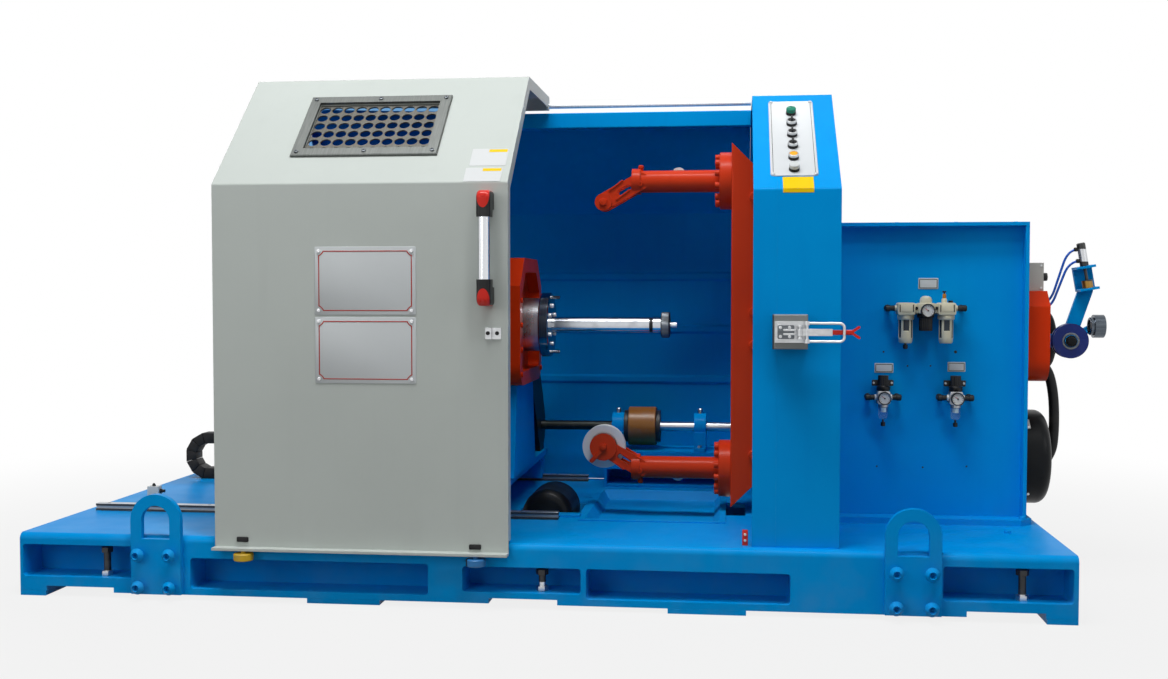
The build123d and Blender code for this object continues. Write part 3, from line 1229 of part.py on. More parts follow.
def air_bowls():
    """Clear bowls under filter and lubricator and the dark regulator knob between them."""
    pitch = AIR_BODY_WIDTH + AIR_SPACER
    middle = PANEL_FRONT - AIR_BACK - AIR_BODY_DEPTH / 2
    low = AIR_UNIT_Z - AIR_BODY_HEIGHT / 2
    bowls = []
    for side in (-1, 1):
        bowl = rod_z(low - AIR_BOWL_LENGTH, low, AIR_UNIT_X + side * pitch, middle, AIR_BOWL_RADIUS)
        bowls.append(fillet(bowl.faces().sort_by(Axis.Z)[0].edges(), AIR_BOWL_RADIUS / 2))
    return group(bowls)


def air_fittings():
    """Dark regulator knob and the two elbows of the air unit."""
    pitch = AIR_BODY_WIDTH + AIR_SPACER
    middle = PANEL_FRONT - AIR_BACK - AIR_BODY_DEPTH / 2
    low = AIR_UNIT_Z - AIR_BODY_HEIGHT / 2
    knob = rod_z(low - AIR_KNOB_LENGTH, low, AIR_UNIT_X, middle, AIR_KNOB_RADIUS)
    pieces = [chamfer(knob.faces().sort_by(Axis.Z)[0].edges(), AIR_KNOB_RADIUS / 6)]
    for side in (-1, 1):
        x0 = AIR_UNIT_X + side * (pitch + AIR_BODY_WIDTH / 2)
        x1 = x0 + side * AIR_ELBOW_LENGTH
        elbow = rod_x(min(x0, x1), max(x0, x1), middle, AIR_UNIT_Z, AIR_ELBOW_RADIUS)
        bend_x = x1 - side * AIR_ELBOW_RADIUS
        elbow += rod_y(middle, PANEL_FRONT, bend_x, AIR_UNIT_Z, AIR_ELBOW_RADIUS)
        pieces.append(elbow)
    return group(pieces)


def pressure_gauges():
    """Gauge of the air unit and one on each small regulator."""
    front = PANEL_FRONT - AIR_BACK - AIR_BODY_DEPTH
    small_front = PANEL_FRONT - AIR_BACK - SMALL_BODY_WIDTH
    gauges = [gauge(AIR_UNIT_X, AIR_UNIT_Z, front)]
    for inset in SMALL_REGULATOR_INSETS:
        gauges.append(gauge(CABINET_END + inset, SMALL_REGULATOR_Z, small_front))
    return group(gauges)


def small_regulators():
    """Filter regulators: body, knob on top, bowl below, elbows at both sides."""
    pieces = []
    middle = PANEL_FRONT - AIR_BACK - SMALL_BODY_WIDTH / 2
    half = SMALL_BODY_WIDTH / 2
    low, high = SMALL_REGULATOR_Z - SMALL_BODY_HEIGHT / 2, SMALL_REGULATOR_Z + SMALL_BODY_HEIGHT / 2
    for inset in SMALL_REGULATOR_INSETS:
        x = CABINET_END + inset
        body = block(x - half, x + half, middle - half, middle + half, low, high)
        body = chamfer(body.edges().filter_by(Axis.Z), half / 4)
        body += rod_z(high, high + SMALL_KNOB_LENGTH, x, middle, SMALL_KNOB_RADIUS)
        body += rod_z(low - SMALL_BOWL_LENGTH, low, x, middle, SMALL_BOWL_RADIUS)
        body += rod_y(middle, PANEL_FRONT, x, SMALL_REGULATOR_Z, half / 2)
        for side in (-1, 1):
            x1 = x + side * (half + AIR_ELBOW_LENGTH)
            body += rod_x(min(x, x1), max(x, x1), middle, SMALL_REGULATOR_Z, AIR_ELBOW_RADIUS * 3 / 4)
        pieces.append(body)
    return group(pieces)


def bow_beam():
    """Box beam of the rotor, cut at forty-five degrees at both ends."""
    x0, x1 = BOW_BEAM_START, BOW_BEAM_START + BOW_BEAM_WIDTH
    short = BOW_BEAM_REACH - BOW_BEAM_WIDTH
    points = [(x0, AXIS_Z - BOW_BEAM_REACH), (x1, AXIS_Z - short), (x1, AXIS_Z + short),
              (x0, AXIS_Z + BOW_BEAM_REACH)]
    beam = prism_y(points, AXIS_Y - BOW_BEAM_DEPTH / 2, AXIS_Y + BOW_BEAM_DEPTH / 2)
    return fillet(beam.edges().filter_by(Axis.Z), BOW_BEAM_EDGE)


def bow_arm(hub_radius):
    """Flanged tube arm with a collar and a fork that leans in towards the axis."""
    z = AXIS_Z + BOW_RADIUS
    face = BOW_BEAM_START
    flange_start = face - BOW_FLANGE_THICK
    tube_start = flange_start - BOW_TUBE_LENGTH
    arm = rod_x(flange_start, face, AXIS_Y, z, BOW_FLANGE_RADIUS)
    arm = chamfer(arm.edges().filter_by(GeomType.CIRCLE).sort_by(Axis.X)[0], BOW_BEAM_EDGE / 2)
    arm += rod_x(tube_start, flange_start, AXIS_Y, z, BOW_TUBE_RADIUS)
    arm += rod_x(tube_start, tube_start + BOW_COLLAR_LENGTH, AXIS_Y, z, BOW_COLLAR_RADIUS)
    pin = (FORK_PIN_X, AXIS_Z + FORK_PIN_RADIUS)
    root = (tube_start + FORK_END_RADIUS, z)
    inner, outer = FORK_GAP / 2, FORK_GAP / 2 + FORK_CHEEK
    for side in (-1, 1):
        y0, y1 = sorted((AXIS_Y + side * inner, AXIS_Y + side * outer))
        arm += link_plate(pin, root, FORK_END_RADIUS, y0, y1)
    ends = [[near + (far - near) * share for near, far in zip(pin, root)] for share in FORK_SLOT_SHARES]
    arm -= link_plate(*ends, FORK_SLOT, AXIS_Y - outer - OVERRUN, AXIS_Y + outer + OVERRUN)
    arm += rod_y(AXIS_Y - outer, AXIS_Y + outer, pin[0], pin[1], FORK_PIN)
    y0 = AXIS_Y - outer - FORK_CHEEK / 2
    return arm + rod_y(y0, AXIS_Y - outer, pin[0], pin[1], hub_radius)


def bow_arms():
    """Upper arm as drawn, lower arm turned round the axis with the hub disc to the front."""
    lower = mirror(bow_arm(FORK_HUB_RADIUS), about=Plane.XY.offset(AXIS_Z))
    return group([bow_arm(FORK_END_RADIUS), lower])


def bow_pulley():
    """Grooved pulley with a thin web in the lower fork."""
    half = PULLEY_WIDTH / 2
    web = PULLEY_WEB / 2
    rim = PULLEY_RADIUS - 2 * PULLEY_GROOVE
    bore = FORK_PIN + RUNNING_GAP
    outline = Polyline((bore, -half), (PULLEY_HUB_RADIUS, -half), (PULLEY_HUB_RADIUS, -web), (rim, -web),
                       (rim, -half), (PULLEY_RADIUS, -half), (PULLEY_RADIUS, -half * 3 / 4),
                       (PULLEY_RADIUS - PULLEY_GROOVE, -half / 5), (PULLEY_RADIUS - PULLEY_GROOVE, half / 5),
                       (PULLEY_RADIUS, half * 3 / 4), (PULLEY_RADIUS, half), (rim, half), (rim, web),
                       (PULLEY_HUB_RADIUS, web), (PULLEY_HUB_RADIUS, half), (bore, half), close=True)
    return Pos(FORK_PIN_X, AXIS_Y, AXIS_Z - FORK_PIN_RADIUS) * revolve(make_face(outline), Axis.Y)


def main_shaft():
    """Hollow rotor shaft with the hub that carries the beam."""
    start = BOW_BEAM_START + BOW_BEAM_WIDTH
    hub_end = CABINET_WALL - SHAFT_HUB_GAP
    shaft = rod_x(start, GUARD_END, AXIS_Y, AXIS_Z, SHAFT_RADIUS)
    shaft += rod_x(start, hub_end, AXIS_Y, AXIS_Z, SHAFT_HUB_RADIUS)
    return shaft - rod_x(start - OVERRUN, GUARD_END + OVERRUN, AXIS_Y, AXIS_Z, SHAFT_BORE)


def carriage_base():
    """Carriage plate on four runner blocks that straddle the rails."""
    start = CARRIAGE_END - CARRIAGE_LENGTH
    plate = block(start, CARRIAGE_END, FRONT_RAIL_Y - CARRIAGE_OVERHANG, REAR_RAIL_Y + CARRIAGE_OVERHANG,
                  CARRIAGE_BOTTOM, CARRIAGE_BOTTOM + CARRIAGE_PLATE)
    plate = fillet(plate.edges().filter_by(Axis.Z), COVER_BEND)
    rail_top = DECK_TOP + RAIL_HEIGHT
    half = RUNNER_BLOCK_WIDTH / 2
    slot = RAIL_WIDTH / 2 + RUNNING_GAP
    for y in (FRONT_RAIL_Y, REAR_RAIL_Y):
        for x0 in (start + RUNNER_SKIRT, CARRIAGE_END - RUNNER_SKIRT - RUNNER_BLOCK):
            x1 = x0 + RUNNER_BLOCK
            runner = block(x0, x1, y - half, y + half, rail_top - RUNNER_SKIRT, CARRIAGE_BOTTOM)
            runner -= block(x0 - OVERRUN, x1 + OVERRUN, y - slot, y + slot,
                            rail_top - RUNNER_SKIRT - OVERRUN, rail_top + RUNNING_GAP)
            plate += runner
    return plate


def carriage_pedestal():
    """Welded pedestal, wider at its foot."""
    low, high = CARRIAGE_BOTTOM + CARRIAGE_PLATE, HOUSING_BOTTOM
    top, foot = PEDESTAL_HALF_WIDTH, PEDESTAL_HALF_WIDTH + PEDESTAL_TOE
    points = [(AXIS_Y - foot, low), (AXIS_Y + foot, low), (AXIS_Y + top, high), (AXIS_Y - top, high)]
    return prism_x(points, HOUSING_END - HOUSING_LENGTH, HOUSING_END - PEDESTAL_INSET)


def takeup_housing():
    """Red housing: cut top corners, rounded bottom corners and a recessed right face."""
    def outline(inset, x0, x1):
        body = block(x0, x1, AXIS_Y - HOUSING_HALF_WIDTH + inset, AXIS_Y + HOUSING_HALF_WIDTH - inset,
                     HOUSING_BOTTOM + inset, HOUSING_TOP - inset)
        body = fillet(body.edges().filter_by(Axis.X).sort_by(Axis.Z)[:2], HOUSING_ROUND - inset)
        return chamfer(body.edges().filter_by(Axis.X).sort_by(Axis.Z)[-2:], HOUSING_CHAMFER - inset / 2)
    start = HOUSING_END - HOUSING_LENGTH
    housing = outline(0, start, HOUSING_END)
    housing -= outline(HOUSING_RIM, HOUSING_END - HOUSING_RECESS, HOUSING_END + OVERRUN)
    return housing - rod_x(HOUSING_END - 2 * HOUSING_RECESS, HOUSING_END, AXIS_Y, AXIS_Z,
                           DRUM_RADIUS + RUNNING_GAP)


def driver_flange():
    """Polished drum and driver plate with two driving pins."""
    drum_start = HOUSING_END - 2 * HOUSING_RECESS + RUNNING_GAP
    driver = rod_x(drum_start, DRIVER_START, AXIS_Y, AXIS_Z, DRUM_RADIUS)
    plate = rod_x(DRIVER_START, DRIVER_START + DRIVER_THICK, AXIS_Y, AXIS_Z, DRIVER_RADIUS)
    driver += chamfer(plate.edges().filter_by(GeomType.CIRCLE), DRIVER_THICK / 10)
    end = DRIVER_START + DRIVER_THICK
    for side in (-1, 1):
        driver += rod_x(end, end + DRIVER_PIN_LENGTH, AXIS_Y, AXIS_Z + side * DRIVER_PIN_CIRCLE, DRIVER_PIN)
    return driver


def takeup_spindle():
    """Bobbin spindle with a waist before its end nut and a short stub."""
    start = DRIVER_START + DRIVER_THICK
    waist_end = SPINDLE_END - SPINDLE_GROOVE_INSET
    spindle = rod_x(start, SPINDLE_END, AXIS_Y, AXIS_Z, SPINDLE_RADIUS)
    ring = rod_x(waist_end - SPINDLE_GROOVE_LENGTH, waist_end, AXIS_Y, AXIS_Z, SPINDLE_RADIUS + OVERRUN)
    ring -= rod_x(waist_end - SPINDLE_GROOVE_LENGTH, waist_end, AXIS_Y, AXIS_Z,
                  SPINDLE_RADIUS - SPINDLE_GROOVE)
    spindle -= ring
    nut_end = SPINDLE_END + NUT_LENGTH
    nut = rod_x(SPINDLE_END, nut_end, AXIS_Y, AXIS_Z, NUT_RADIUS)
    spindle += chamfer(nut.edges().filter_by(GeomType.CIRCLE), SPINDLE_GROOVE)
    return spindle + rod_x(nut_end, nut_end + STUB_LENGTH, AXIS_Y, AXIS_Z, STUB_RADIUS)


def belt_case():
    """Dark belt case between the rear shaft and the housing, standing on the carriage."""
    top_y = AXIS_Y + HOUSING_HALF_WIDTH + CASE_RADIUS + SEAT_GAP
    length = hypot(top_y - REAR_SHAFT_Y, CASE_TOP_Z - REAR_SHAFT_Z)
    angle = degrees(atan2(CASE_TOP_Z - REAR_SHAFT_Z, top_y - REAR_SHAFT_Y))
    centre = Pos((top_y + REAR_SHAFT_Y) / 2, (CASE_TOP_Z + REAR_SHAFT_Z) / 2)
    face = Plane.YZ * (centre * Rot(0, 0, angle) * SlotCenterToCenter(length, 2 * CASE_RADIUS))
    case = Pos(CASE_START, 0, 0) * extrude(face, amount=CASE_LENGTH)
    case += block(CASE_START, CASE_START + CASE_LENGTH, REAR_SHAFT_Y - CASE_RADIUS / 2,
                  REAR_SHAFT_Y + CASE_RADIUS / 2, CARRIAGE_BOTTOM + CARRIAGE_PLATE, REAR_SHAFT_Z)
    return case - rod_x(CASE_START - OVERRUN, CASE_START + CASE_LENGTH + OVERRUN, REAR_SHAFT_Y, REAR_SHAFT_Z,
                        REAR_SHAFT_RADIUS + RUNNING_GAP)


def rear_shaft():
    """Long transmission shaft from the headstock to the carriage's belt case."""
    end = CABINET_WALL + CABINET_RIM * 4 - OVERRUN
    return rod_x(end - REAR_SHAFT_LENGTH, end, REAR_SHAFT_Y, REAR_SHAFT_Z, REAR_SHAFT_RADIUS)


def shaft_coupling():
    """Coupling sleeve between two dark flanges."""
    x0, x1 = COUPLING_START, COUPLING_START + COUPLING_LENGTH
    coupling = rod_x(x0, x1, REAR_SHAFT_Y, REAR_SHAFT_Z, COUPLING_RADIUS)
    coupling = chamfer(coupling.edges().filter_by(GeomType.CIRCLE), COUPLING_FLANGE / 3)
    coupling += rod_x(x0 - COUPLING_FLANGE, x1 + COUPLING_FLANGE, REAR_SHAFT_Y, REAR_SHAFT_Z,
                      COUPLING_FLANGE_RADIUS)
    return coupling - rod_x(x0 - 2 * COUPLING_FLANGE, x1 + 2 * COUPLING_FLANGE, REAR_SHAFT_Y, REAR_SHAFT_Z,
                            REAR_SHAFT_RADIUS + SEAT_GAP)


def shaft_bench():
    """Bench along the rear wall, open at its front, with two bearing brackets."""
    back = BED_DEPTH - COVER_INSET - COVER_SHEET - COVER_RIB
    bench = block(BENCH_START, CABINET_START, BENCH_FRONT, back, DECK_TOP, BENCH_TOP)
    bench -= block(BENCH_START + BENCH_WALL, CABINET_START - BENCH_WALL, BENCH_FRONT - OVERRUN,
                   back - BENCH_WALL, DECK_TOP + BENCH_WALL, DECK_TOP + (BENCH_TOP - DECK_TOP) / 2)
    for inset in BRACKET_INSETS:
        x0 = BENCH_START + inset
        x1 = x0 + BRACKET_LENGTH
        bench += block(x0, x1, REAR_SHAFT_Y - BRACKET_HALF_WIDTH, REAR_SHAFT_Y + BRACKET_HALF_WIDTH,
                       BENCH_TOP, REAR_SHAFT_Z - BRACKET_CROWN / 3)
        bench += rod_x(x0, x1, REAR_SHAFT_Y, REAR_SHAFT_Z, BRACKET_CROWN)
    return bench - rod_x(BENCH_START, CABINET_START, REAR_SHAFT_Y, REAR_SHAFT_Z,
                         REAR_SHAFT_RADIUS + SEAT_GAP)


PIECES = {
    "front_sill": sill,
    "rear_sill": lambda: mirrored_rear(sill()),
    "end_sills": end_sills,
    "deck_plate": deck_plate,
    "pit_tray": pit_tray,
    "foot_pads": foot_pads,
    "lifting_lugs": lifting_lugs,
    "levelling_bolts": levelling_bolts,
    "carriage_rails": carriage_rails,
    "energy_chain": energy_chain,
    "traverse_motor": traverse_motor,
    "hood_shell": hood_shell,
    "hood_window_frame": hood_window_frame,
    "hood_window_pane": hood_window_pane,
    "hood_handle_grip": hood_handle_grip,
    "hood_handle_ends": hood_handle_ends,
    "hood_catch": hood_catch,
    "hood_rollers": lambda: group([hood_rollers(), hood_runners()]),
    "top_rod": top_rod,
    "top_beam": top_beam,
    "rear_cover": rear_cover,
    "headstock_cabinet": headstock_cabinet,
    "headstock_rim": headstock_rim,
    "control_plate": control_plate,
    "control_buttons": control_buttons,
    "latch_block": latch_block,
    "latch_base": latch_base,
    "latch_lever": lambda: group([latch_lever(), latch_loop()]),
    "latch_grip": latch_grip,
    "service_panel": service_panel,
    "drive_cover": drive_cover,
    "bearing_stand": bearing_stand,
    "main_motor": main_motor,
    "belt_guard": belt_guard,
    "switch_box": switch_box,
    "conduits": conduits,
    "entry_bracket": entry_bracket,
    "entry_tube": entry_tube,
    "entry_cylinder": entry_cylinder,
    "entry_wheel": entry_wheel,
    "air_tubes": air_tubes,
    "air_service_unit": air_service_unit,
    "air_bowls": air_bowls,
    "air_fittings": air_fittings,
    "pressure_gauges": pressure_gauges,
    "small_regulators": small_regulators,
    "bow_beam": bow_beam,
    "bow_arms": bow_arms,
    "bow_pulley": bow_pulley,
    "main_shaft": main_shaft,
    "carriage_base": carriage_base,
    "carriage_pedestal": carriage_pedestal,
    "takeup_housing": takeup_housing,
    "driver_flange": driver_flange,
    "takeup_spindle": takeup_spindle,
    "belt_case": belt_case,
    "rear_shaft": rear_shaft,
    "shaft_coupling": shaft_coupling,
    "shaft_bench": shaft_bench,
}

if __name__ == "__main__":
    os.makedirs("parts", exist_ok=True)
    for name, make in PIECES.items():
        piece = Pos(-PLAN_CENTRE[0], -PLAN_CENTRE[1], 0) * make()
        export_step(piece, f"parts/{name}.step")
        print(name, len(piece.solids()))
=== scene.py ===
# %% [markdown]
# A single twist stranding machine. Wires come in at the right, run through a hollow shaft into a
# turning bow and are wound on a bobbin under the sliding hood. The solids of the machine come from
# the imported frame, and this lesson adds finishes and the small pieces that solids leave out.
# %% Load the frame
from functools import partial
from math import atan2, cos, degrees, pi, radians, sin, tan
import bmesh
import bpy
from mathutils import Matrix, Vector


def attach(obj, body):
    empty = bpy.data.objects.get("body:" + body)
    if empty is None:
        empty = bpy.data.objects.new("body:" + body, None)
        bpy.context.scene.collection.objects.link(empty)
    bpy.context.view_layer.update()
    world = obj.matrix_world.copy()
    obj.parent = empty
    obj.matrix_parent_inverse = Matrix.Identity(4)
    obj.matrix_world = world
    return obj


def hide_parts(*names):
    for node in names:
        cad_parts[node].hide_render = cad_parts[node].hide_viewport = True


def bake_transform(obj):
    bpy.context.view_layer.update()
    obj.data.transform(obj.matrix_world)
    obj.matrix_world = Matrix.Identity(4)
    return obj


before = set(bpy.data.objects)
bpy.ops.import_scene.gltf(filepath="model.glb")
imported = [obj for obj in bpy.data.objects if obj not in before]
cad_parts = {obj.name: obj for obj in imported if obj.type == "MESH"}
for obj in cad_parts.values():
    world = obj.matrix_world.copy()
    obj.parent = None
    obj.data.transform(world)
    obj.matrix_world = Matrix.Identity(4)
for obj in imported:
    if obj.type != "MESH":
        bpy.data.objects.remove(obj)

scene = bpy.context.scene
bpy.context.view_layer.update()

# %% [markdown]
# The drawing measures from the bed's left end, its front face and the floor, in millimetres, while
# the frame's origin lies under the machine's middle, in metres. Small helpers do that change once: one
# turns drawing measures into a point, one stands a shape on a face, and six short names stand it on
# faces that look along an axis.
# %% Places on the machine
DRAWING_ORIGIN = Vector((1722.5, 663, 0))
MM = Matrix.Scale(0.001, 4)
FRONT, BACK, LEFT, RIGHT = (0, -1, 0), (0, 1, 0), (-1, 0, 0), (1, 0, 0)
TOP, DOWN = (0, 0, 1), (0, 0, -1)

def at(x, y, z):
    return (Vector((x, y, z)) - DRAWING_ORIGIN) / 1000

def facing(point, out, up=TOP):
    """Matrix with its z out of a face and its y towards up; a shape on it is drawn in millimetres."""
    z_axis = Vector(out).normalized()
    x_axis = Vector(up).cross(z_axis).normalized()
    y_axis = z_axis.cross(x_axis)
    return Matrix.Translation(point) @ Matrix((x_axis, y_axis, z_axis)).transposed().to_4x4() @ MM

def towards(out, up=TOP):
    """Maker of places that look this way, from drawing measures."""
    return lambda x, y, z: facing(at(x, y, z), out, up)

to_front, to_back, to_left, to_right = map(towards, (FRONT, BACK, LEFT, RIGHT))
upwards, downwards = towards(TOP, BACK), towards(DOWN, FRONT)

def on_slope(front, fold, run, rise, x, along, lift=0):
    """Place on a sloping face that starts at (front, fold); along is measured up the slope."""
    direction = Vector((0, run, rise)).normalized()
    out = Vector((0, -rise, run)).normalized()
    return facing(at(x, front, fold) + (direction * along + out * lift) / 1000, out, direction)

print("origin of the drawing in the frame:", tuple(round(c, 3) for c in at(0, 0, 0)))

# %% [markdown]
# The photograph was taken from a little above the spindle and right of the middle, with a normal
# lens. Position, turn and focal length were worked out from the vanishing point of the bed's depth
# lines, so the camera is written down as numbers and needs no tracking constraint.
# %% Camera
def new_object(name, data):
    made = bpy.data.objects.new(name, data)
    scene.collection.objects.link(made)
    return made

camera = new_object("camera", bpy.data.cameras.new("camera"))
camera.data.sensor_width = 36
camera.data.lens = 40.07
camera.location = (0.5055, -4.476, 0.956)
camera.rotation_euler = (radians(87.82), 0, radians(6.7))
scene.camera = camera
print("camera", camera.data.lens, "mm")

# %% [markdown]
# The studio is one large pale floor, a white world and soft lamps. The world is plain white only for
# rays that a viewer sees directly or in metal and glass, and dimmer for the light it throws, so the
# background is white while the paint keeps its own brightness. Overhead hall lamps made the
# photograph's shadows fall steeply, so the largest lamp hangs above the front.
# %% Studio
AMBIENT, FLOOR_HALF, FLOOR_DROP = 0.14, 30, 0.0005
FADE_START, FADE_END, NEAR_WHITE = 1.6, 4.5, 0.84
scene.view_settings.view_transform = "Standard"

def add(tree, kind, values=None, **settings):
    """New node: settings are its properties, values its inputs, a number or a socket to link."""
    made = tree.nodes.new("ShaderNode" + kind)
    for key, value in settings.items():
        setattr(made, key, value)
    for key, value in (values or {}).items():
        if isinstance(value, bpy.types.NodeSocket):
            tree.links.new(value, made.inputs[key])
        else:
            made.inputs[key].default_value = value
    return made

def seen_mask(tree):
    """1 for camera, mirror and glass rays, 0 for the rays that only carry light."""
    path = add(tree, "LightPath")
    both = add(tree, "Math", {0: path.outputs["Is Camera Ray"], 1: path.outputs["Is Glossy Ray"]},
               operation="MAXIMUM")
    return add(tree, "Math", {0: both.outputs[0], 1: path.outputs["Is Transmission Ray"]},
               operation="MAXIMUM").outputs[0]

def new_material(name):
    material = bpy.data.materials.new(name)
    material.use_nodes = True
    return material, material.node_tree

world = bpy.data.worlds.new("white_studio")
world.use_nodes = True
scene.world = world
sky = world.node_tree
strength = add(sky, "MapRange", {"Value": seen_mask(sky), "To Min": AMBIENT, "To Max": 1.0})
sky.links.new(strength.outputs[0], sky.nodes["Background"].inputs["Strength"])
sky.nodes["Background"].inputs["Color"].default_value = (1, 1, 1, 1)

floor_shape = bmesh.new()
bmesh.ops.create_grid(floor_shape, x_segments=2, y_segments=2, size=FLOOR_HALF)
floor_mesh = bpy.data.meshes.new("studio_floor")
floor_shape.to_mesh(floor_mesh)
floor_shape.free()
floor = new_object("studio_floor", floor_mesh)
floor.location.z = -FLOOR_DROP
paper, tree = new_material("floor_paper")
tree.nodes.clear()
spot = add(tree, "TexCoord")
distance = add(tree, "VectorMath", {0: spot.outputs["Object"]}, operation="LENGTH")
far = add(tree, "MapRange", {"Value": distance.outputs["Value"], "From Min": FADE_START, "From Max": FADE_END,
                             "To Min": NEAR_WHITE, "To Max": 1.0}, interpolation_type="SMOOTHSTEP")
share = add(tree, "Math", {0: far.outputs[0], 1: seen_mask(tree)}, operation="MULTIPLY")
matt = add(tree, "BsdfDiffuse", {"Color": (0.3, 0.3, 0.295, 1)})
white = add(tree, "Emission", {"Color": (1, 1, 1, 1), "Strength": 1.0})
mixed = add(tree, "MixShader", {0: share.outputs[0], 1: matt.outputs[0], 2: white.outputs[0]})
add(tree, "OutputMaterial", {"Surface": mixed.outputs[0]})
floor_mesh.materials.append(paper)

def lamp(name, where, aim, size, power):
    data = bpy.data.lights.new(name, "AREA")
    data.shape = "RECTANGLE"
    data.size, data.size_y, data.energy = size[0], size[1], power
    made = new_object(name, data)
    made.location = where
    made.rotation_euler = (Vector(aim) - Vector(where)).to_track_quat("-Z", "Y").to_euler()

lamp("hall_lamp", (-0.5, -1.7, 5.6), (-0.2, 0, 0.6), (3.0, 0.8), 198)
lamp("entry_lamp", (1.5, -2.9, 5.0), (1.3, 0, 0.6), (1.0, 0.8), 46)
lamp("front_fill", (-2.8, -4.6, 2.4), (0, 0, 0.8), (2.5, 2.5), 50)
lamp("right_fill", (4.4, -2.4, 2.8), (0.6, 0, 0.8), (2.0, 2.0), 26)
lamp("back_lamp", (0.6, 3.8, 4.2), (0, 0, 0.8), (3.0, 1.5), 110)

# %% [markdown]
# Every piece starts as a small bmesh in millimetres. A finished bmesh is stamped once or many times
# on places of the machine, given its finish and tied to the body that carries it. Stamping writes
# the place into the vertices, so the object itself stays at the origin, as the frame's nodes do.
# %% Making and stamping
SHARP_ANGLE, SAME_POINT, NEAR_TOP = radians(35), 0.001, 0.99

def stamp(target, part, places, finish=None):
    """Copy a part into the target at one place or a list of them; finish overrides its material index."""
    for place in [places] if isinstance(places, Matrix) else places:
        mesh = bpy.data.meshes.new("stamp")
        part.to_mesh(mesh)
        mesh.transform(place)
        if finish is not None:
            for face in mesh.polygons:
                face.material_index = finish
        target.from_mesh(mesh)
        bpy.data.meshes.remove(mesh)
    return target

def settle(shape, name, body, finishes, replaced=(), reach=None):
    """Turn a stamped bmesh into a piece that rides on a body; a piece given a reach stays in place, tied to no body.
    """
    mesh = bpy.data.meshes.new(name)
    shape.to_mesh(mesh)
    shape.free()
    for finish in finishes:
        mesh.materials.append(finish)
    mesh.shade_smooth()
    mesh.set_sharp_from_angle(angle=SHARP_ANGLE)
    piece = new_object(name, mesh)
    if reach:
        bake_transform(piece)
    else:
        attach(piece, body)
    if replaced:
        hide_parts(*replaced)
    print(name, "faces", len(mesh.polygons), "on", body)

def build(name, body, slot, finishes, *rows, replaced=()):
    """Piece from rows for stamp: a part, its places and, where the part has no finish of its own, an index."""
    shape = bmesh.new()
    for row in rows:
        stamp(shape, *row)
    settle(shape, name, body, finishes, replaced)

def soften(shape, edges, offset, segments=2):
    bmesh.ops.bevel(shape, geom=edges, offset=offset, segments=segments, profile=0.5, affect="EDGES", material=-1)

def top_rim(shape, height):
    return [e for e in shape.edges if min(v.co.z for v in e.verts) > height * NEAR_TOP]

def drum(radius, height, sides):
    """Prism with many sides that stands on the xy plane."""
    shape = bmesh.new()
    bmesh.ops.create_cone(shape, cap_ends=True, segments=sides, radius1=radius, radius2=radius, depth=height)
    bmesh.ops.translate(shape, vec=(0, 0, height / 2), verts=shape.verts)
    return shape

def slab(width, height, thick, corner=0, edge=0):
    """Plate on the xy plane, rounded at its upright corners and softened round its front face."""
    shape = bmesh.new()
    bmesh.ops.create_cube(shape, size=1)
    bmesh.ops.scale(shape, vec=(width, height, thick), verts=shape.verts)
    bmesh.ops.translate(shape, vec=(0, 0, thick / 2), verts=shape.verts)
    if corner:
        upright = [e for e in shape.edges if abs(e.verts[0].co.z - e.verts[1].co.z) > thick / 2]
        soften(shape, upright, corner, 5)
    if edge:
        soften(shape, top_rim(shape, thick), edge)
    return shape

def turned(profile, steps=32):
    """Closed (radius, height) profile spun round z; a profile that starts and ends at 0 closes itself."""
    shape = bmesh.new()
    points = [shape.verts.new((radius, 0, height)) for radius, height in profile]
    edges = [shape.edges.new(pair) for pair in zip(points, points[1:])]
    if profile[0][0] > 0:
        edges.append(shape.edges.new((points[-1], points[0])))
    bmesh.ops.spin(shape, geom=points + edges, cent=(0, 0, 0), axis=(0, 0, 1), angle=2 * pi, steps=steps,
                   use_merge=True)
    bmesh.ops.remove_doubles(shape, verts=shape.verts, dist=SAME_POINT)
    bmesh.ops.recalc_face_normals(shape, faces=shape.faces)
    return shape

def solid(*outline, steps=32):
    """Turned piece without a bore: its outline is closed to the axis at both ends."""
    return turned([(0, outline[0][1]), *outline, (0, outline[-1][1])], steps)

def circle(count, radius, y, z, start=0.5):
    """Places (y, z) round a circle, each with its outward direction; start is a share of one step."""
    for step in range(count):
        angle = 2 * pi * (step + start) / count
        yield y + radius * cos(angle), z + radius * sin(angle), (0, cos(angle), sin(angle))

def bolt_head(radius, height, sides=6, socket=0.0):
    """Hexagon or round bolt head with a softened top and, where asked, a hexagon socket."""
    shape = drum(radius, height, sides)
    soften(shape, top_rim(shape, height), radius * 0.12)
    if socket:
        top = [f for f in shape.faces if f.calc_center_median().z > height * NEAR_TOP and f.normal.z > 0.9]
        bmesh.ops.inset_region(shape, faces=top, thickness=radius * (1 - socket))
        bmesh.ops.inset_region(shape, faces=top, thickness=0.02, depth=-height * 0.5)
    return shape

print("helpers ready")

# %% [markdown]
# Paint on a working machine is never one colour. It shades a little from sheet to sheet, carries
# dust near the floor, shows faint runs and loses its gloss at rubbed edges. Several paints share
# these effects, so they live in one node group with its own inputs. It reads Object coordinates,
# because every mesh already lies in machine coordinates, and then the same pattern runs on across
# neighbouring sheets.
# %% Worn paint group
def shade(red, green, blue):
    """Screen colour from 0 to 255 as the linear colour that shader sockets take."""
    def linear(value):
        value /= 255
        return value / 12.92 if value <= 0.04045 else ((value + 0.055) / 1.055) ** 2.4
    return (linear(red), linear(green), linear(blue), 1)

SURFACE = {"Color": "Color", "Roughness": "Float", "Height": "Float"}

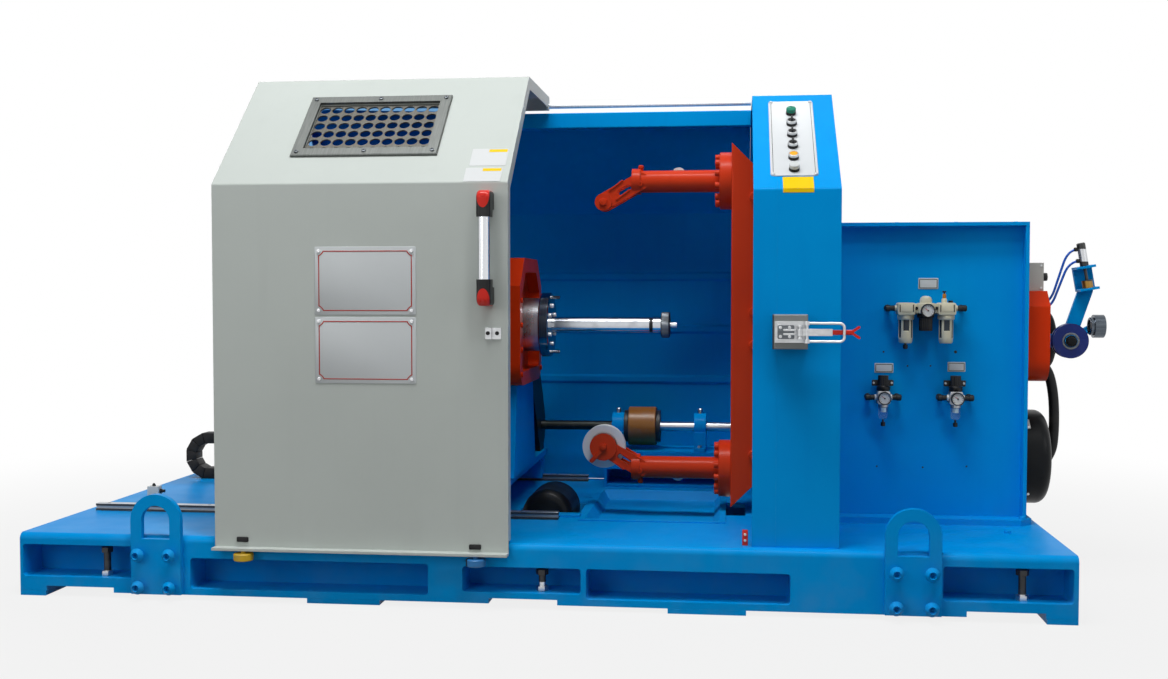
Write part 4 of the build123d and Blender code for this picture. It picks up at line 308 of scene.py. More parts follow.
def new_group(name, inputs):
    """Group with these inputs, {label: kind}, and a surface's outputs; gives it and its input sockets."""
    group = bpy.data.node_groups.new(name, "ShaderNodeTree")
    for way, sockets in (("INPUT", inputs), ("OUTPUT", SURFACE)):
        for label, kind in sockets.items():
            group.interface.new_socket(name=label, in_out=way, socket_type="NodeSocket" + kind)
    return group, group.nodes.new("NodeGroupInput").outputs

def close_group(group, *surface):
    """Link colour, roughness and height to the outputs."""
    result = group.nodes.new("NodeGroupOutput")
    for label, socket in zip(SURFACE, surface):
        group.links.new(socket, result.inputs[label])
    print("group", group.name, "nodes", len(group.nodes))

def blend(tree, share, first, second):
    """Colour mix; a Mix node's colour sockets are 6 and 7, and its colour result is 2."""
    return add(tree, "Mix", {0: share, 6: first, 7: second}, data_type="RGBA").outputs[2]

def maths(tree, operation, first, second):
    return add(tree, "Math", {0: first, 1: second}, operation=operation).outputs[0]

def spread(tree, value, low, high, to_low=0.0, to_high=1.0):
    return add(tree, "MapRange", {"Value": value, "From Min": low, "From Max": high, "To Min": to_low,
                                  "To Max": to_high}).outputs[0]

def noise(tree, scale, detail=3.0, stretch=None):
    spot = add(tree, "TexCoord").outputs["Object"]
    if stretch:
        spot = add(tree, "Mapping", {"Vector": spot, "Scale": stretch}).outputs[0]
    return add(tree, "TexNoise", {"Vector": spot, "Scale": scale, "Detail": detail}).outputs["Fac"]

def makers(tree):
    """The makers above for one tree: mix, multiply, add, spread and noise."""
    multiply, addition = (partial(maths, tree, operation) for operation in ("MULTIPLY", "ADD"))
    return partial(blend, tree), multiply, addition, partial(spread, tree), partial(noise, tree)

worn_paint, given = new_group("worn_paint", {
    "Paint": "Color", "Deep": "Color", "Dust": "Color", "Edge": "Color", "Mottle": "Float", "Dust Height": "Float",
    "Gloss": "Float"})
mix, times, plus, span, grain = makers(worn_paint)
clouds = grain(2.6, 4)
runs = grain(1.0, 3, (26, 26, 1.6))
colour = mix(times(span(clouds, 0.35, 0.7), given["Mottle"]), given["Paint"], given["Deep"])
colour = mix(times(times(span(runs, 0.55, 0.75), given["Mottle"]), 0.45), colour, given["Deep"])
above_floor = add(worn_paint, "SeparateXYZ", {0: add(worn_paint, "TexCoord").outputs["Object"]}).outputs["Z"]
low_down = maths(worn_paint, "SUBTRACT", 1.0, maths(worn_paint, "DIVIDE", above_floor, given["Dust Height"]))
dusty = times(add(worn_paint, "Clamp", {0: low_down}).outputs[0], span(grain(11, 6), 0.42, 0.68))
colour = mix(times(dusty, 0.08), colour, given["Dust"])
rounded = add(worn_paint, "Bevel", {"Radius": 0.0035}, samples=4)
surface = add(worn_paint, "NewGeometry")
likeness = add(worn_paint, "VectorMath", {0: rounded.outputs[0], 1: surface.outputs["Normal"]},
               operation="DOT_PRODUCT").outputs["Value"]
rub = times(span(likeness, 0.985, 0.86), span(grain(34, 5), 0.44, 0.66))
colour = mix(times(rub, 0.5), colour, given["Edge"])
rough = plus(plus(given["Gloss"], times(clouds, 0.12)), times(dusty, 0.22))
peel, dents = grain(420, 2), grain(5, 2)
bumps = plus(times(peel, 0.00012), times(dents, 0.0012))
close_group(worn_paint, colour, rough, bumps)

# %% [markdown]
# Polished and plated metal shows fine marks along the way it was turned or drawn, and cloudy patches
# of oil. A noise that is stretched along one axis gives both, and the stretch is an input, so the
# same group serves a shaft along x and a plate that was brushed upwards.
# %% Machined metal group
machined, given = new_group("machined_metal", {
    "Metal": "Color", "Dull": "Color", "Stretch": "Vector", "Gloss": "Float"})
mix, times, plus, span, grain = makers(machined)
lines = grain(1.0, 5, given["Stretch"])
oil = grain(9, 3)
tone = mix(span(lines, 0.35, 0.7), given["Metal"], given["Dull"])
tone = mix(times(span(oil, 0.55, 0.75), 0.4), tone, given["Dull"])
gloss = plus(given["Gloss"], times(oil, 0.16))
close_group(machined, tone, gloss, lines)

# %% [markdown]
# Moulded plastic and rubber have a fine spark-eroded grain and pale dust that settles in it. The
# group gives a colour, a roughness and a height; the shader itself stays in each material.
# %% Moulded plastic group
moulded, given = new_group("moulded_grain", {"Plastic": "Color", "Dust": "Color", "Gloss": "Float"})
mix, times, plus, span, grain = makers(moulded)
specks = grain(700, 2)
settled = span(grain(24, 5), 0.5, 0.75)
tone = mix(times(settled, 0.07), given["Plastic"], given["Dust"])
gloss = plus(given["Gloss"], times(settled, 0.15))
close_group(moulded, tone, gloss, specks)

# %% [markdown]
# Each finish is one Principled shader that takes its changing colour, roughness and height from a
# group. Values that don't change, such as metallic or coat, are set on the shader itself. A Bevel
# node under the bump rounds the solids' sharp edges a little, as bent sheet and castings have.
# %% Finish makers
METAL_BUMP, METAL_EDGE, GRAIN_BUMP, MOULD_EDGE, ZONE_BUMP = 0.00003, 0.001, 0.00008, 0.0012, 0.00006

def relief(tree, height, bump, edge):
    """Bump over softened edges, for the shader's normal."""
    rounding = add(tree, "Bevel", {"Radius": edge}, samples=4)
    bumped = add(tree, "Bump", {"Height": height, "Strength": 1.0, "Distance": bump, "Normal": rounding.outputs[0]})
    tree.links.new(bumped.outputs[0], tree.nodes["Principled BSDF"].inputs["Normal"])

def finish_from(name, group, values, bump, edge=0.002, **shader_values):
    material, tree = new_material(name)
    shader = tree.nodes["Principled BSDF"]
    effect = add(tree, "Group", values, node_tree=group)
    for label, target in (("Color", "Base Color"), ("Roughness", "Roughness")):
        tree.links.new(effect.outputs[label], shader.inputs[target])
    relief(tree, effect.outputs["Height"], bump, edge)
    for key, value in shader_values.items():
        shader.inputs[key.replace("_", " ")].default_value = value
    return material

def paint(name, colour, deep, gloss=0.28, mottle=0.5, dust_height=0.5, edge=(190, 200, 205), coat=0.04, shine=0.1):
    return finish_from(name, worn_paint,
                       {"Paint": shade(*colour), "Deep": shade(*deep), "Dust": shade(150, 152, 148),
                        "Edge": shade(*edge), "Mottle": mottle, "Dust Height": dust_height, "Gloss": gloss},
                       1.0, Coat_Weight=coat, Coat_Roughness=0.12, Specular_IOR_Level=shine)

def metal(name, colour, dull, stretch, gloss=0.12):
    return finish_from(name, machined, {"Metal": shade(*colour), "Dull": shade(*dull), "Stretch": stretch,
                                        "Gloss": gloss}, METAL_BUMP, METAL_EDGE, Metallic=1.0)

def plastic(name, colour, gloss=0.35, dust=(150, 150, 148)):
    return finish_from(name, moulded, {"Plastic": shade(*colour), "Dust": shade(*dust), "Gloss": gloss},
                       GRAIN_BUMP, MOULD_EDGE, Specular_IOR_Level=0.25)

machine_blue = paint("machine_blue", (0, 152, 226), (0, 134, 214), dust_height=0.3, edge=(50, 158, 226),
                     coat=0.02, shine=0.03)
hood_grey = paint("hood_grey", (190, 197, 193), (179, 186, 182), gloss=0.34, mottle=0.35, dust_height=0.4,
                  edge=(220, 222, 218))
rotor_red = paint("rotor_red", (208, 58, 22), (184, 44, 16), gloss=0.25, dust_height=0.3, edge=(120, 60, 50))
guard_orange = paint("guard_orange", (226, 58, 8), (200, 44, 6), gloss=0.27, dust_height=0.3, edge=(232, 110, 70))
motor_black = paint("motor_black", (16, 19, 22), (11, 13, 15), gloss=0.3, edge=(80, 82, 85))
box_grey = paint("box_grey", (196, 196, 190), (180, 180, 174), gloss=0.36)
plate_white = paint("plate_white", (205, 209, 212), (194, 199, 203), gloss=0.3, mottle=0.3, edge=(200, 200, 200))
shaft_chrome = metal("shaft_chrome", (186, 190, 196), (172, 177, 184), (600, 4, 4))
dark_steel = metal("dark_steel", (140, 145, 152), (116, 121, 128), (300, 8, 8), gloss=0.06)
drum_chrome = metal("drum_chrome", (200, 204, 209), (180, 184, 190), (600, 4, 4), gloss=0.2)
rod_chrome = metal("rod_chrome", (226, 229, 232), (210, 213, 217), (600, 4, 4), gloss=0.4)
rail_steel = metal("rail_steel", (104, 108, 112), (78, 82, 86), (8, 200, 200), gloss=0.3)
tube_steel = metal("tube_steel", (96, 104, 112), (70, 76, 84), (8, 160, 160), gloss=0.2)
upright_chrome = metal("upright_chrome", (222, 224, 228), (208, 211, 215), (180, 180, 3))
zinc = metal("zinc", (196, 198, 200), (178, 180, 182), (40, 40, 120), gloss=0.28)
frame_metal = metal("frame_metal", (106, 109, 107), (92, 95, 93), (300, 14, 14), gloss=0.42)
sheet_metal = metal("sheet_metal", (96, 95, 90), (80, 79, 75), (300, 14, 14), gloss=0.45)
black_plastic = plastic("black_plastic", (15, 16, 18))
rubber_black = plastic("rubber_black", (18, 18, 20), gloss=0.55)
cream_plastic = plastic("cream_plastic", (208, 203, 178))
red_plastic = plastic("red_plastic", (206, 36, 24), gloss=0.25)
wheel_blue = plastic("wheel_blue", (8, 36, 112), gloss=0.3)
tube_blue = plastic("tube_blue", (18, 86, 190), gloss=0.25)
pulley_white = plastic("pulley_white", (214, 216, 214), gloss=0.3, dust=(120, 120, 118))
print("finishes", len(bpy.data.materials))

# %% [markdown]
# Some solids show two or three finishes: a jack bolt has a dark head on a bright thread, a coupling
# has dark flanges. Cutting the solid apart would change the frame, so one material picks its colour by
# the place along an axis. A constant colour ramp does that, with metal and roughness in a second one.
# The handle's feet have red ovals instead, so their colour asks how far a point is from an oval's middle.
# %% Zoned finishes
def zoned(name, axis, stops):
    """stops: (start in drawing millimetres, colour, metallic, roughness), in rising order."""
    material, tree = new_material(name)
    shader = tree.nodes["Principled BSDF"]
    low, high = stops[0][0] - 1, stops[-1][0] + 1
    origin = DRAWING_ORIGIN["XYZ".index(axis)]
    along = add(tree, "SeparateXYZ", {0: add(tree, "TexCoord").outputs["Object"]}).outputs[axis]
    share = spread(tree, along, (low - origin) / 1000, (high - origin) / 1000)
    ramps = [add(tree, "ValToRGB", {0: share}) for _ in range(2)]
    for ramp in ramps:
        ramp.color_ramp.interpolation = "CONSTANT"
    for count, (start, colour, metallic, rough) in enumerate(stops):
        for ramp, value in zip(ramps, (shade(*colour), (metallic, rough, 0, 1))):
            elements = ramp.color_ramp.elements
            place = (start - low) / (high - low) if count else 0
            element = elements[count] if count < len(elements) else elements.new(place)
            element.position, element.color = place, value
    mix, times, plus, span, grain = makers(tree)
    wear = span(grain(30, 5), 0.5, 0.8, 0.0, 0.3)
    tree.links.new(mix(wear, ramps[0].outputs[0], shade(120, 120, 118)), shader.inputs["Base Color"])
    parts = add(tree, "SeparateColor", {0: ramps[1].outputs[0]})
    tree.links.new(parts.outputs[0], shader.inputs["Metallic"])
    tree.links.new(plus(parts.outputs[1], times(grain(40), 0.1)), shader.inputs["Roughness"])
    relief(tree, grain(500, 2), ZONE_BUMP, MOULD_EDGE)
    return material

BLACK, STEEL = ((22, 23, 25), 0, 0.4), ((200, 202, 205), 1, 0.25)
jack_bolts = zoned("jack_bolts", "Z", [(0, *STEEL), (76, *BLACK)])
roller_tyres = zoned("roller_tyres", "X", [(600, (196, 160, 20), 0, 0.45), (782, (60, 62, 66), 1, 0.4),
                                           (1436, (30, 110, 170), 0, 0.4)])
coupling_amber = zoned("coupling_amber", "X", [(1700, *BLACK), (1812, (150, 92, 16), 0, 0.3), (1918, *BLACK)])
rear_steel = zoned("rear_steel", "X", [(1000, (52, 56, 54), 1, 0.4), (1810, *STEEL)])
press_steel = zoned("press_steel", "Z", [(900, (150, 116, 58), 1, 0.35), (985, *BLACK), (1050, *STEEL),
                                         (1092, *BLACK)])
rail_bands = zoned("rail_bands", "Z", [(196, (34, 36, 40), 0, 0.4), (205, (150, 153, 156), 1, 0.3),
                                       (213, (34, 36, 40), 0, 0.4), (221, (190, 193, 196), 1, 0.35)])
latch_block = zoned("latch_block", "X", [(2300, *BLACK), (2335, (122, 126, 126), 0, 0.4)])
spindle_steel = zoned("spindle_steel", "X", [(1500, (196, 200, 206), 1, 0.12), (1968, (66, 70, 74), 1, 0.35),
                                             (1999, *STEEL)])
HANDLE_X, HANDLE_ENDS = 1493, (909, 1248)
PAD_WIDE, PAD_HIGH, PAD_RISE = 0.019, 0.034, 0.152
handle_foot = plastic("handle_foot", (15, 16, 18))
tree = handle_foot.node_tree
spot = add(tree, "SeparateXYZ", {0: add(tree, "TexCoord").outputs["Object"]})
across = maths(tree, "DIVIDE", maths(tree, "SUBTRACT", spot.outputs["X"], at(HANDLE_X, 0, 0).x), PAD_WIDE)
from_middle = maths(tree, "ABSOLUTE", maths(tree, "SUBTRACT", spot.outputs["Z"], sum(HANDLE_ENDS) / 2000), 0.0)
upward = maths(tree, "DIVIDE", maths(tree, "SUBTRACT", from_middle, PAD_RISE), PAD_HIGH)
mix, times, plus, *_ = makers(tree)
oval = maths(tree, "LESS_THAN", plus(times(across, across), times(upward, upward)), 1.0)
base = tree.nodes["Principled BSDF"].inputs["Base Color"]
tree.links.new(mix(oval, base.links[0].from_socket, shade(206, 36, 24)), base)
print("zoned finishes done")

# %% [markdown]
# Now every solid of the frame gets its finish. A table from finish to nodes is easier to read and to
# check than one assignment after another, and the loop at the end proves that no node was forgotten.
# %% Dress the solids
dress = {
    machine_blue: ["front_sill", "rear_sill", "end_sills", "deck_plate", "pit_tray", "foot_pads", "lifting_lugs",
                   "top_beam", "rear_cover", "headstock_cabinet", "headstock_rim", "service_panel", "drive_cover",
                   "bearing_stand", "entry_bracket", "carriage_base", "carriage_pedestal", "shaft_bench"],
    hood_grey: ["hood_shell"], box_grey: ["switch_box"], rotor_red: ["bow_beam", "bow_arms"],
    guard_orange: ["belt_guard", "takeup_housing"], plate_white: ["control_plate"],
    shaft_chrome: ["main_shaft"], rod_chrome: ["top_rod"], dark_steel: ["driver_flange"],
    spindle_steel: ["takeup_spindle"], handle_foot: ["hood_handle_ends"], rail_bands: ["carriage_rails"],
    tube_steel: ["entry_tube"], upright_chrome: ["hood_handle_grip"], latch_block: ["latch_block"],
    zinc: ["latch_base", "latch_lever", "hood_catch"], frame_metal: ["hood_window_frame"],
    sheet_metal: ["hood_window_pane"], red_plastic: ["latch_grip"],
    motor_black: ["main_motor", "traverse_motor", "belt_case"],
    black_plastic: ["control_buttons", "energy_chain", "air_fittings", "small_regulators"],
    rubber_black: ["conduits"], cream_plastic: ["air_service_unit", "air_bowls"], wheel_blue: ["entry_wheel"],
    tube_blue: ["air_tubes"], pulley_white: ["bow_pulley", "pressure_gauges"],
    jack_bolts: ["levelling_bolts"], roller_tyres: ["hood_rollers"], coupling_amber: ["shaft_coupling"],
    rear_steel: ["rear_shaft"], press_steel: ["entry_cylinder"],
}
for finish, names in dress.items():
    for name in names:
        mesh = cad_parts[name].data
        mesh.materials.clear()
        mesh.materials.append(finish)
bare = set(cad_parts) - {name for names in dress.values() for name in names}
print("dressed", len(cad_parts) - len(bare), "left bare", sorted(bare))

# %% [markdown]
# The hood carries small things that a solid model leaves out: the screws of its window frame, two
# bare plates held by four screws each, blank stickers and rubber stops at the lower edge. A red line
# with notched corners frames each plate. That line is a face with its corners cut by a bevel whose
# profile bends inwards, then inset to a narrow ring and raised a little.
# %% Hood plates and screws
HOOD_FRONT = -15
HOOD_SLOPE = (HOOD_FRONT, 1276, 405, 373)
CABINET_SLOPE = (38, 1252, 450, 337)
PLATE_THICK, LINE_WIDTH, LINE_PROUD = 1.6, 3, 0.5

def thicken(shape, way):
    """Grow faces into a solid along one way."""
    grown = bmesh.ops.extrude_face_region(shape, geom=shape.faces[:])
    moved = [item for item in grown["geom"] if isinstance(item, bmesh.types.BMVert)]
    bmesh.ops.translate(shape, vec=way, verts=moved)
    bmesh.ops.recalc_face_normals(shape, faces=shape.faces)
    return shape

def notched_line(width, height, notch):
    """Thin raised frame line with its corners cut inwards."""
    shape = bmesh.new()
    bmesh.ops.create_grid(shape, x_segments=1, y_segments=1, size=0.5)
    bmesh.ops.scale(shape, vec=(width, height, 1), verts=shape.verts)
    bmesh.ops.bevel(shape, geom=shape.verts[:], offset=notch, segments=6, profile=0.15, affect="VERTICES",
                    material=-1)
    middle = shape.faces[:]
    bmesh.ops.inset_region(shape, faces=middle, thickness=LINE_WIDTH, use_boundary=True, use_even_offset=True)
    bmesh.ops.delete(shape, geom=middle, context="FACES")
    return thicken(shape, (0, 0, LINE_PROUD))

def corners(width, height):
    return [(side * width / 2, end * height / 2) for side in (-1, 1) for end in (-1, 1)]

def shift(x, y, z=0):
    return Matrix.Translation((x, y, z))

plate_silver = paint("plate_silver", (196, 201, 203), (186, 191, 193), gloss=0.3, mottle=0.25)
line_red = paint("line_red", (176, 52, 44), (160, 44, 38), gloss=0.4, mottle=0.3, edge=(170, 60, 52))
label_white = paint("label_white", (205, 208, 209), (195, 198, 199), gloss=0.4, mottle=0.2)
label_yellow = paint("label_yellow", (236, 196, 0), (222, 180, 0), gloss=0.4, mottle=0.3)
screw = bolt_head(5.5, 3, 16, 0.5)
plates = bmesh.new()
for x, low, high in ((1121, 881, 1086), (1121, 675, 875)):
    place = to_front(x, HOOD_FRONT, (low + high) / 2)
    stamp(plates, slab(312, high - low, PLATE_THICK, 4, 0.4), place, 0)
    stamp(plates, notched_line(288, high - low - 24, 14), place @ shift(0, 0, PLATE_THICK), 1)
    stamp(plates, screw, [place @ shift(u, v, PLATE_THICK) for u, v in corners(286, high - low - 26)], 2)
settle(plates, "hood_plates", "hood", [plate_silver, line_red, zinc])

window = on_slope(*HOOD_SLOPE, 1089, 287, 9)
build("window_screws", "hood", "zinc_plate", [rail_steel],
      (bolt_head(7, 4, 20, 0.5), [window @ shift(u, v) for u in (-214, 0, 214) for v in (-139, 139)]))
stickers = bmesh.new()
for x, along, width, height in ((1483, 119, 112, 84), (1476, 34, 112, 66)):
    stamp(stickers, slab(width, height, 0.6, 3), on_slope(*HOOD_SLOPE, x, along), 0)
    band = on_slope(*HOOD_SLOPE, x + width * 0.22, along + height / 2 - 10, 0.6)
    stamp(stickers, slab(width * 0.5, 13, 0.3), band, 1)
settle(stickers, "blank_stickers", "hood", [label_white, label_yellow])
build("hood_stops", "hood", "dark_plastic", [rubber_black],
      (slab(36, 15, 5, 3, 1.5), [to_front(x, HOOD_FRONT, z) for x, z in ((732, 195), (1454, 188))]))

# %% [markdown]
# Behind the perforated window sheet lies a clear pane. Its blue tint is painted reflection: it stands in for
# the blue glare seen through the holes. The pane needs a shader that lets light through, with an index
# near one because the pane is thin and hardly bends what is behind it.
# The handle's feet carry red pads: spun barrels sunk into the rounded corners, so that only an oval
# of each one shows. Two dark screws hold the catch.
# %% Window pane and handle pads
# The pane's blue colour is painted reflection, standing in for the blue glare seen through the window's holes.
painted_glare = finish_from("pane_painted_glare", moulded, {"Plastic": shade(110, 160, 205), "Dust": shade(150, 170, 190),
                                              "Gloss": 0.04}, 0.00001, Transmission_Weight=1.0, IOR=1.05)
build("pane_painted_glare", "hood", "clear_bowl", [painted_glare],
      (slab(388, 238, 2, 4, 0.4), on_slope(*HOOD_SLOPE, 1089, 287, -12)))
HANDLE_FACE, CORNER = -84, 24
BARREL_HALF = [(20.7, 6), (19.9, 12), (17.8, 16), (15.5, 17)]
barrel = solid(*((radius, -end) for radius, end in reversed(BARREL_HALF)), (20.9, 0), *BARREL_HALF, steps=48)
pads = bmesh.new()
for end, inward in zip(HANDLE_ENDS, (1, -1)):
    centre = at(HANDLE_X, HANDLE_FACE + CORNER - 3, end + inward * (CORNER - 3))
    stamp(pads, barrel, facing(centre, RIGHT), 0)
stamp(pads, bolt_head(6, 3, 20, 0.5), [to_front(x, HOOD_FRONT - 4, 828) for x in (1495, 1523)], 1)
settle(pads, "handle_pads", "hood", [red_plastic, black_plastic])

# %% [markdown]
# The control column has six actuators on dark sockets: a green and a white lamp button with broad caps,
# three black selectors with a wing and a yellow button, the last four inside a silver bezel. Sockets,
# bezels and caps are profiles spun round their axis, as they were turned or moulded, and the wing is a
# softened slab. They take the place of the plain buttons of the frame. Measured through the camera, the
# plate is a little longer and sits higher than the frame's, so a plate of that size replaces it too.
# %% Control column
socket = solid((16, 0), (16, 8), (15, 9.5))
bezel = turned([(12.5, 9), (15.5, 9), (15.5, 15), (14, 17), (12.5, 17)])
cap = turned([(0, 9), (12.4, 9), (12.4, 15), (11, 16.4), (0, 16.8)])
broad_cap = turned([(0, 9), (15, 9), (15.5, 10), (15.5, 18), (14, 20), (0, 21)])
selector = solid((12.4, 9), (12.4, 15), (11.4, 16))
stamp(selector, slab(7, 23, 12, 3, 2), shift(0, 0, 14))
push_green = plastic("push_green", (0, 122, 96), gloss=0.25)
push_yellow = plastic("push_yellow", (236, 164, 0), gloss=0.25)
push_white = plastic("push_white", (196, 200, 200), gloss=0.25)
column = bmesh.new()
CONTROL_X, CONTROL_ALONG, BUTTONS_ALONG, CONTROL_PLATE, PITCH = 2396, 291, 267, 3, 67.3
for count, (top, finish) in enumerate(((broad_cap, 1), (selector, 0), (selector, 0), (selector, 0), (cap, 2),
                                       (broad_cap, 3))):
    place = on_slope(*CABINET_SLOPE, CONTROL_X, BUTTONS_ALONG + (2.5 - count) * PITCH, CONTROL_PLATE)
    stamp(column, socket, place, 0)
    stamp(column, top, place, finish)
    if top is not broad_cap:
        stamp(column, bezel, place, 4)
settle(column, "control_column", "bed",
       [black_plastic, push_green, push_yellow, push_white, zinc], ["control_buttons"])
control = on_slope(*CABINET_SLOPE, CONTROL_X, CONTROL_ALONG, CONTROL_PLATE)
build("control_panel", "bed", "white_plate", [plate_white, zinc, black_plastic],
      (slab(140, 448, CONTROL_PLATE, 10, 0.6), control @ shift(0, 0, -CONTROL_PLATE), 0),
      (bolt_head(6, 3, 20, 0.5), [control @ shift(u, v) for u, v in corners(124, 432)], 1),
      (slab(1.4, 414, 0.3), [control @ shift(side * 62, 0) for side in (-1, 1)], 2), replaced=["control_plate"])
build("blank_yellow_label", "bed", "white_plate", [label_yellow],
      (slab(90, 63, 0.6), on_slope(*CABINET_SLOPE, 2406, 31.5)),
      (slab(90, 12, 0.6), to_front(2406, CABINET_SLOPE[0], CABINET_SLOPE[1] - 6)))

# %% [markdown]
# Each lifting lug is held by four socket-head screws that were painted over with the bed. A screw is a
# round head with a hexagon hollow, stamped at the corners of every lug.
# %% Lug screws
LUG_X, LUG_FRONT, LUG_MIDDLE = (454.4, 2736), -20, 93
build("lug_screws", "bed", "blue_paint", [machine_blue],
      (bolt_head(11, 24, 24, 0.55),
       [to_front(x + u, LUG_FRONT, LUG_MIDDLE + v) for x in LUG_X for u, v in corners(100, 100)]))

# %% [markdown]
# The bow is bolted together: a ring of heavy screws on each flange, a grease nipple and a clamp screw on
# each collar, and bosses on the beam. Everything here turns with the rotor, so it stays inside the
# circle that the beam's ends sweep.
# %% Rotor fittings
AXIS_Y, AXIS_Z, ARM_RADIUS = 695, 835, 495
FLANGE_FACE, COLLAR_X, PIN_X, PIN_RADIUS, BOSS_X, GUIDE_X = 2168, 1882, 1770, 424, 2284, 2026
flange_screw = bolt_head(11, 15, 20, 0.55)
nipple = solid((8, 0), (8, 9), (10, 9), (10, 16), (7, 20), steps=16)
clamp_screw = bolt_head(9, 7, 20, 0.5)
fittings = bmesh.new()
put = partial(stamp, fittings)
for side in (1, -1):
    centre = AXIS_Z + side * ARM_RADIUS
    put(flange_screw, [to_left(FLANGE_FACE, y, z) for y, z, _ in circle(12, 80, AXIS_Y, centre)])
    put(nipple, facing(at(COLLAR_X + 15, AXIS_Y, centre + side * 37), (0, 0, side), BACK))
    put(clamp_screw, to_front(COLLAR_X + 15, AXIS_Y - 36, centre - 10))
    put(bolt_head(14, 8, 6), to_front(PIN_X, AXIS_Y - 39, AXIS_Z + side * PIN_RADIUS))
put(solid((16, 0), (16, 12), (13, 15), steps=24), [
    to_front(BOSS_X, AXIS_Y - 100, z) for z in (1269, 882, 771, 400)])
settle(fittings, "rotor_fittings", "rotor", [rotor_red])
build("wire_guides", "rotor", "pulley_white", [pulley_white],
      (turned([(8, 0), (24, 0), (24, 3), (20, 5), (20, 9), (24, 11), (24, 14), (8, 14)]),
       [to_back(GUIDE_X, AXIS_Y + 38, AXIS_Z + side * (ARM_RADIUS + 28)) for side in (1, -1)]))

# %% [markdown]
# The conduits and air tubes are flexible, so each is one smooth NURBS line with a round bevel instead
# of runs and corners. Order and end point setting come after the points, because only then do they
# hold. Every hose goes back into the machine, and the length given with it is printed.
# %% Conduits and air tubes
def hose(name, y, route, diameter, finish, slot, replaced, length, stiffness):
    """Line through (x, z) places at one depth."""
    line = bpy.data.curves.new(name, "CURVE")
    line.dimensions = "3D"
    line.bevel_depth, line.bevel_resolution, line.resolution_u = diameter / 2, 6, 24
    line.use_fill_caps = True
    spline = line.splines.new("NURBS")
    spline.points.add(len(route) - 1)
    for point, (x, z) in zip(spline.points, route):
        point.co = (*at(x, y, z), 1)
    spline.order_u = 3
    spline.use_endpoint_u = True
    line.materials.append(finish)
    piece = new_object(name, line)
    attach(piece, "bed")
    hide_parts(replaced)
    print(name, "runs", round(length, 3), "m")

TUBE_Y = 685.3
CONDUIT = (0.034, rubber_black, "dark_plastic", "conduits")
AIR_TUBE = (0.008, tube_blue, "blue_tube", "air_tubes")
hose("motor_conduit", 757, [(3240, 715), (3276, 700), (3300, 610), (3304, 480), (3294, 392), (3262, 362)], *CONDUIT,
     0.385, "stiff")
hose("guard_conduit", 801, [(3240, 885), (3282, 880), (3302, 820), (3302, 752), (3282, 690), (3240, 685)], *CONDUIT,
     0.265, "stiff")
hose("lower_air_tube", TUBE_Y, [(3240, 893), (3270, 896), (3298, 972), (3326.6, 1048), (3356.6, 1052)], *AIR_TUBE,
     0.209, "medium")
hose("upper_air_tube", TUBE_Y, [(3240, 911), (3268, 914), (3295, 1000), (3322, 1086), (3349.9, 1090.4)], *AIR_TUBE,
     0.222, "medium")

# %% [markdown]
# Air for the press is cleaned and set in a row of three housings on the panel: a filter, a regulator
# with a gauge and an oiler. Bowls and bonnets are spun profiles. A bowl's cage has windows: faces are
# picked by their angle and height, inset and sunk, so the dark panes have real depth. A ribbed knob is
# a prism whose every second corner is drawn in, and a dial is a spun case with stamped ticks.
# %% Air service unit
AIR_BACK, AIR_FRONT, AIR_MID, PANEL_FACE = 526, 468, 497, 540
AIR_X, AIR_Z, AIR_PITCH, SIGHT_X, PLUG_X = 2836, 897, 64, 2894, 2914
smoked = plastic("smoked_pane", (36, 46, 56), gloss=0.12)
amber = plastic("amber_oil", (196, 120, 22), gloss=0.15)

def caged_bowl(radius, length, windows):
    """Bowl that hangs along z; windows are (angle from the front, half width, low share, high share)."""
    wall = [(radius, length * share) for share in (0, 0.16, 0.32, 0.48, 0.64, 0.78)]
    shape = solid(*wall, (radius * 0.97, length * 0.93), (radius * 0.84, length), steps=40)
    sunk = []
    for face in shape.faces:
        middle = face.calc_center_median()
        turn, share = degrees(atan2(middle.x, middle.y)), middle.z / length
        if abs(face.normal.z) < 0.3 and any(abs(turn - angle) < half and low < share < high
                                            for angle, half, low, high in windows):
            sunk.append(face)
    bmesh.ops.inset_region(shape, faces=sunk, thickness=0.7, depth=-1.5)
    for face in sunk:
        face.material_index = PANE
    return shape

def ribbed(radius, height, ribs=20, waist=0.92):
    """Knob whose every second corner is drawn in to a share of its radius."""
    shape = drum(radius, height, 2 * ribs)
    hollow = [v for v in shape.verts if round(atan2(v.co.y, v.co.x) * ribs / pi) % 2]
    bmesh.ops.scale(shape, vec=(waist, waist, 1), verts=hollow)
    soften(shape, top_rim(shape, height), 1.2)
    return shape

def dial(radius):
    """Gauge on its stem: material 0 is the case, 1 the face and 2 the needle."""
    shape = solid((6, 0), (6, 8), (radius * 0.9, 8), (radius, 11), (radius, 28), (radius * 0.96, 31),
                  (radius * 0.86, 31), (radius * 0.84, 27), steps=40)
    for face in shape.faces:
        middle = face.calc_center_median()
        if middle.z > 26.5 and middle.xy.length < radius * 0.8:
            face.material_index = 1
    for count in range(11):
        turn = Matrix.Rotation(radians(135 - 27 * count), 4, "Z")
        stamp(shape, slab(0.9, radius * 0.16, 0.3), turn @ shift(0, radius * 0.68, 27), 0)
    lean = Matrix.Rotation(radians(52), 4, "Z")
    stamp(shape, slab(1.5, radius * 0.62, 0.5), lean @ shift(0, radius * 0.2, 27.4), 2)
    return stamp(shape, bolt_head(2.6, 1.6, 16), shift(0, 0, 27.2), 0)

